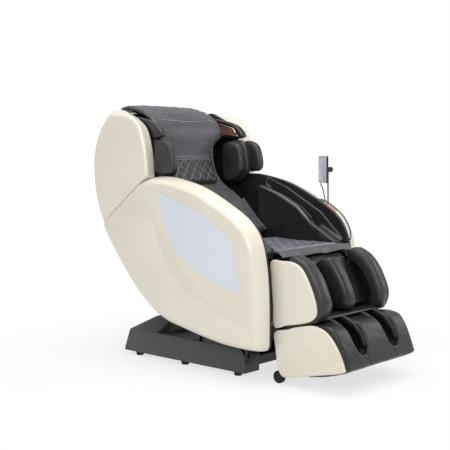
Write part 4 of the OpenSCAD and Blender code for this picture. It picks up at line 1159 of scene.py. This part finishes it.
def makeWheels():
    putDown()
    bpy.ops.mesh.primitive_cylinder_add(vertices=64, radius=wheel["radius"] / 1000, depth=wheel["wide"] / 1000,
                                        location=mm(*wheel["place"]), rotation=(0, pi / 2, 0))
    tyre = bpy.context.object
    tyre.name = "footWheels"
    settle(tyre)
    openUp(tyre, "FACE")
    shape = bmesh.from_edit_mesh(tyre.data)
    for f in shape.faces:
        f.select = abs(f.normal.x) > 0.9
    bmesh.update_edit_mesh(tyre.data)
    for thick, deep in wheel["steps"]:
        bpy.ops.mesh.inset(thickness=thick / 1000, depth=deep / 1000)
    putDown()
    softenEdges(tyre, 2.0, 40, 3)
    both = withTwin(tyre)
    dress(both, wheelRubber, 50)
    fit(both, "wheel_axle", "rubber", "foot_wheels")


makeWheels()
print("footrest made")

remote = {"at": (330, -149, 888), "turn": 61.6, "size": (80, 128, 14), "lugs": (-10.5, 10.5), "lugAt": (-17.5, 0),
          "lugSize": (5, 22, 16), "greyAbove": 735}


def onRemote(ob):
    ob.rotation_euler = (0, 0, radians(remote["turn"]))
    ob.location = mm(*remote["at"])
    settle(ob)


def roundedBlock(name, w, h, y0, y1, corner, edge):
    ob = block(name, (0, (y0 + y1) / 2, 0), (w, abs(y1 - y0), h))
    openUp(ob, "EDGE")
    shape = bmesh.from_edit_mesh(ob.data)
    for e in shape.edges:
        a, b = e.verts
        e.select = abs(a.co.y - b.co.y) > abs(y1 - y0) / 2000
    bmesh.update_edit_mesh(ob.data)
    bpy.ops.mesh.bevel(offset=corner / 1000, segments=8)
    putDown()
    softenEdges(ob, edge, 60, 3)
    return ob


def makeRemote():
    w, h, t = remote["size"]
    case = roundedBlock("remoteCase", w, h, -t / 2, t / 2 - 2, 8, 3)
    rim = roundedBlock("remoteRim", w - 1, h - 1, t / 2 - 2, t / 2 + 0.4, 7, 0.8)
    cutBy(rim, roundedBlock("cutter", w - 9, h - 15, t / 2 - 0.6, t / 2 + 6, 3, 0.2))
    dress(rim, bezelSilver, 50)
    dress(case, remoteGloss, 50)
    lugs = []
    for x in remote["lugs"]:
        lug = block("lug", (x, *remote["lugAt"]), remote["lugSize"])
        softenEdges(lug, 1.5, steps=3)
        dress(lug, remoteGloss, 50)
        lugs.append(lug)
    case = joined(case, rim, *lugs)
    onRemote(case)
    fit(case, "remote", "remote_black", "remote_shell")
    glass = roundedBlock("remoteScreen", w - 10, h - 16, t / 2 - 0.5, t / 2 + 0.1, 3, 0.2)
    dress(glass, screenGlass, 50)
    onRemote(glass)
    fit(glass, "remote", "screen", "remote_screen")
    refined("remote_knob", "remoteKnob", 2.5, remoteGloss, "remote_black", "clamp_knob", steps=4)
    refined("cord_gland", "cordGland", 0.6, wheelRubber, "rubber", "seat_unit")
    stand = refined("remote_stand", "remoteStand", 0.5, roseMetal, "rose_metal", "seat_unit", dissolve=1)
    stand.data.materials.append(greyRod)
    for f in stand.data.polygons:
        f.material_index = 1 if f.center.z > remote["greyAbove"] / 1000 else 0


makeRemote()
print("remote made")


# floor, light

studio = {"world": 0.62, "floor": (0.86, 0.86, 0.86, 1), "white": (1, 1, 1, 1),
          "near": (0.6, 0.72), "far": (1.5, 1.0),
          "panels": [("topPanel", (-0.4, -0.4, 3.2), (0, 0.1, 0.6), (2.6, 2.2), 52),
                     ("keyPanel", (-2.6, -2.4, 2.4), (0, 0.1, 0.5), (1.6, 1.6), 38),
                     ("fillPanel", (2.8, -1.8, 1.8), (0, 0.1, 0.5), (1.6, 1.6), 12)]}


def litPanel(name, place, target, size, power):
    putDown()
    bpy.ops.object.light_add(type="AREA", location=place)
    lamp = bpy.context.object
    lamp.name = name
    lamp.data.shape = "RECTANGLE"
    lamp.data.size, lamp.data.size_y = size
    lamp.data.energy = power
    lamp.rotation_euler = (Vector(target) - Vector(place)).to_track_quat("-Z", "Y").to_euler()


def mixed(tree, amount, first, second, out):     # two shaders mixed by an amount
    mix = tree.nodes.new("ShaderNodeMixShader")
    for k, source in enumerate((amount, first.outputs[0], second.outputs[0])):
        tree.links.new(source, mix.inputs[k])
    tree.links.new(mix.outputs[0], out.inputs["Surface"])


def setStudio():
    putDown()
    bpy.ops.mesh.primitive_plane_add(size=60, location=(0, 0, 0))
    floor = bpy.context.object
    floor.name = "floor"
    look, tree, shader = startLook("floorPaint", 0.9)
    shader.inputs["Base Color"].default_value = studio["floor"]
    shader.inputs["Specular IOR Level"].default_value = 0.0
    rays = tree.nodes.new("ShaderNodeLightPath")
    split = tree.nodes.new("ShaderNodeSeparateXYZ")
    tree.links.new(placeOf(tree), split.inputs[0])
    squares = [calc(tree, "MULTIPLY", split.outputs[k], split.outputs[k]) for k in (0, 1)]
    (near, darker), (far, full) = studio["near"], studio["far"]
    grow = node(tree, "MapRange", From_Min=near, From_Max=far, To_Min=darker, To_Max=full)
    tree.links.new(calc(tree, "SQRT", calc(tree, "ADD", *squares)), grow.inputs["Value"])
    seen = calc(tree, "MAXIMUM", rays.outputs["Is Camera Ray"], rays.outputs["Is Glossy Ray"])
    mixed(tree, calc(tree, "MULTIPLY", grow.outputs[0], seen), shader, node(tree, "Emission", Strength=1.0),
          tree.nodes["Material Output"])
    floor.data.materials.append(look)
    world = bpy.context.scene.world or bpy.data.worlds.new("studio")
    bpy.context.scene.world = world
    world.use_nodes = True
    tree = world.node_tree
    tree.nodes.clear()
    soft, seenWhite = (node(tree, "Background", Color=studio["white"], Strength=v) for v in (studio["world"], 1.0))
    rays = tree.nodes.new("ShaderNodeLightPath")
    mixed(tree, rays.outputs["Is Camera Ray"], soft, seenWhite, tree.nodes.new("ShaderNodeOutputWorld"))
    for panel in studio["panels"]:
        litPanel(*panel)


setStudio()
print("studio set")
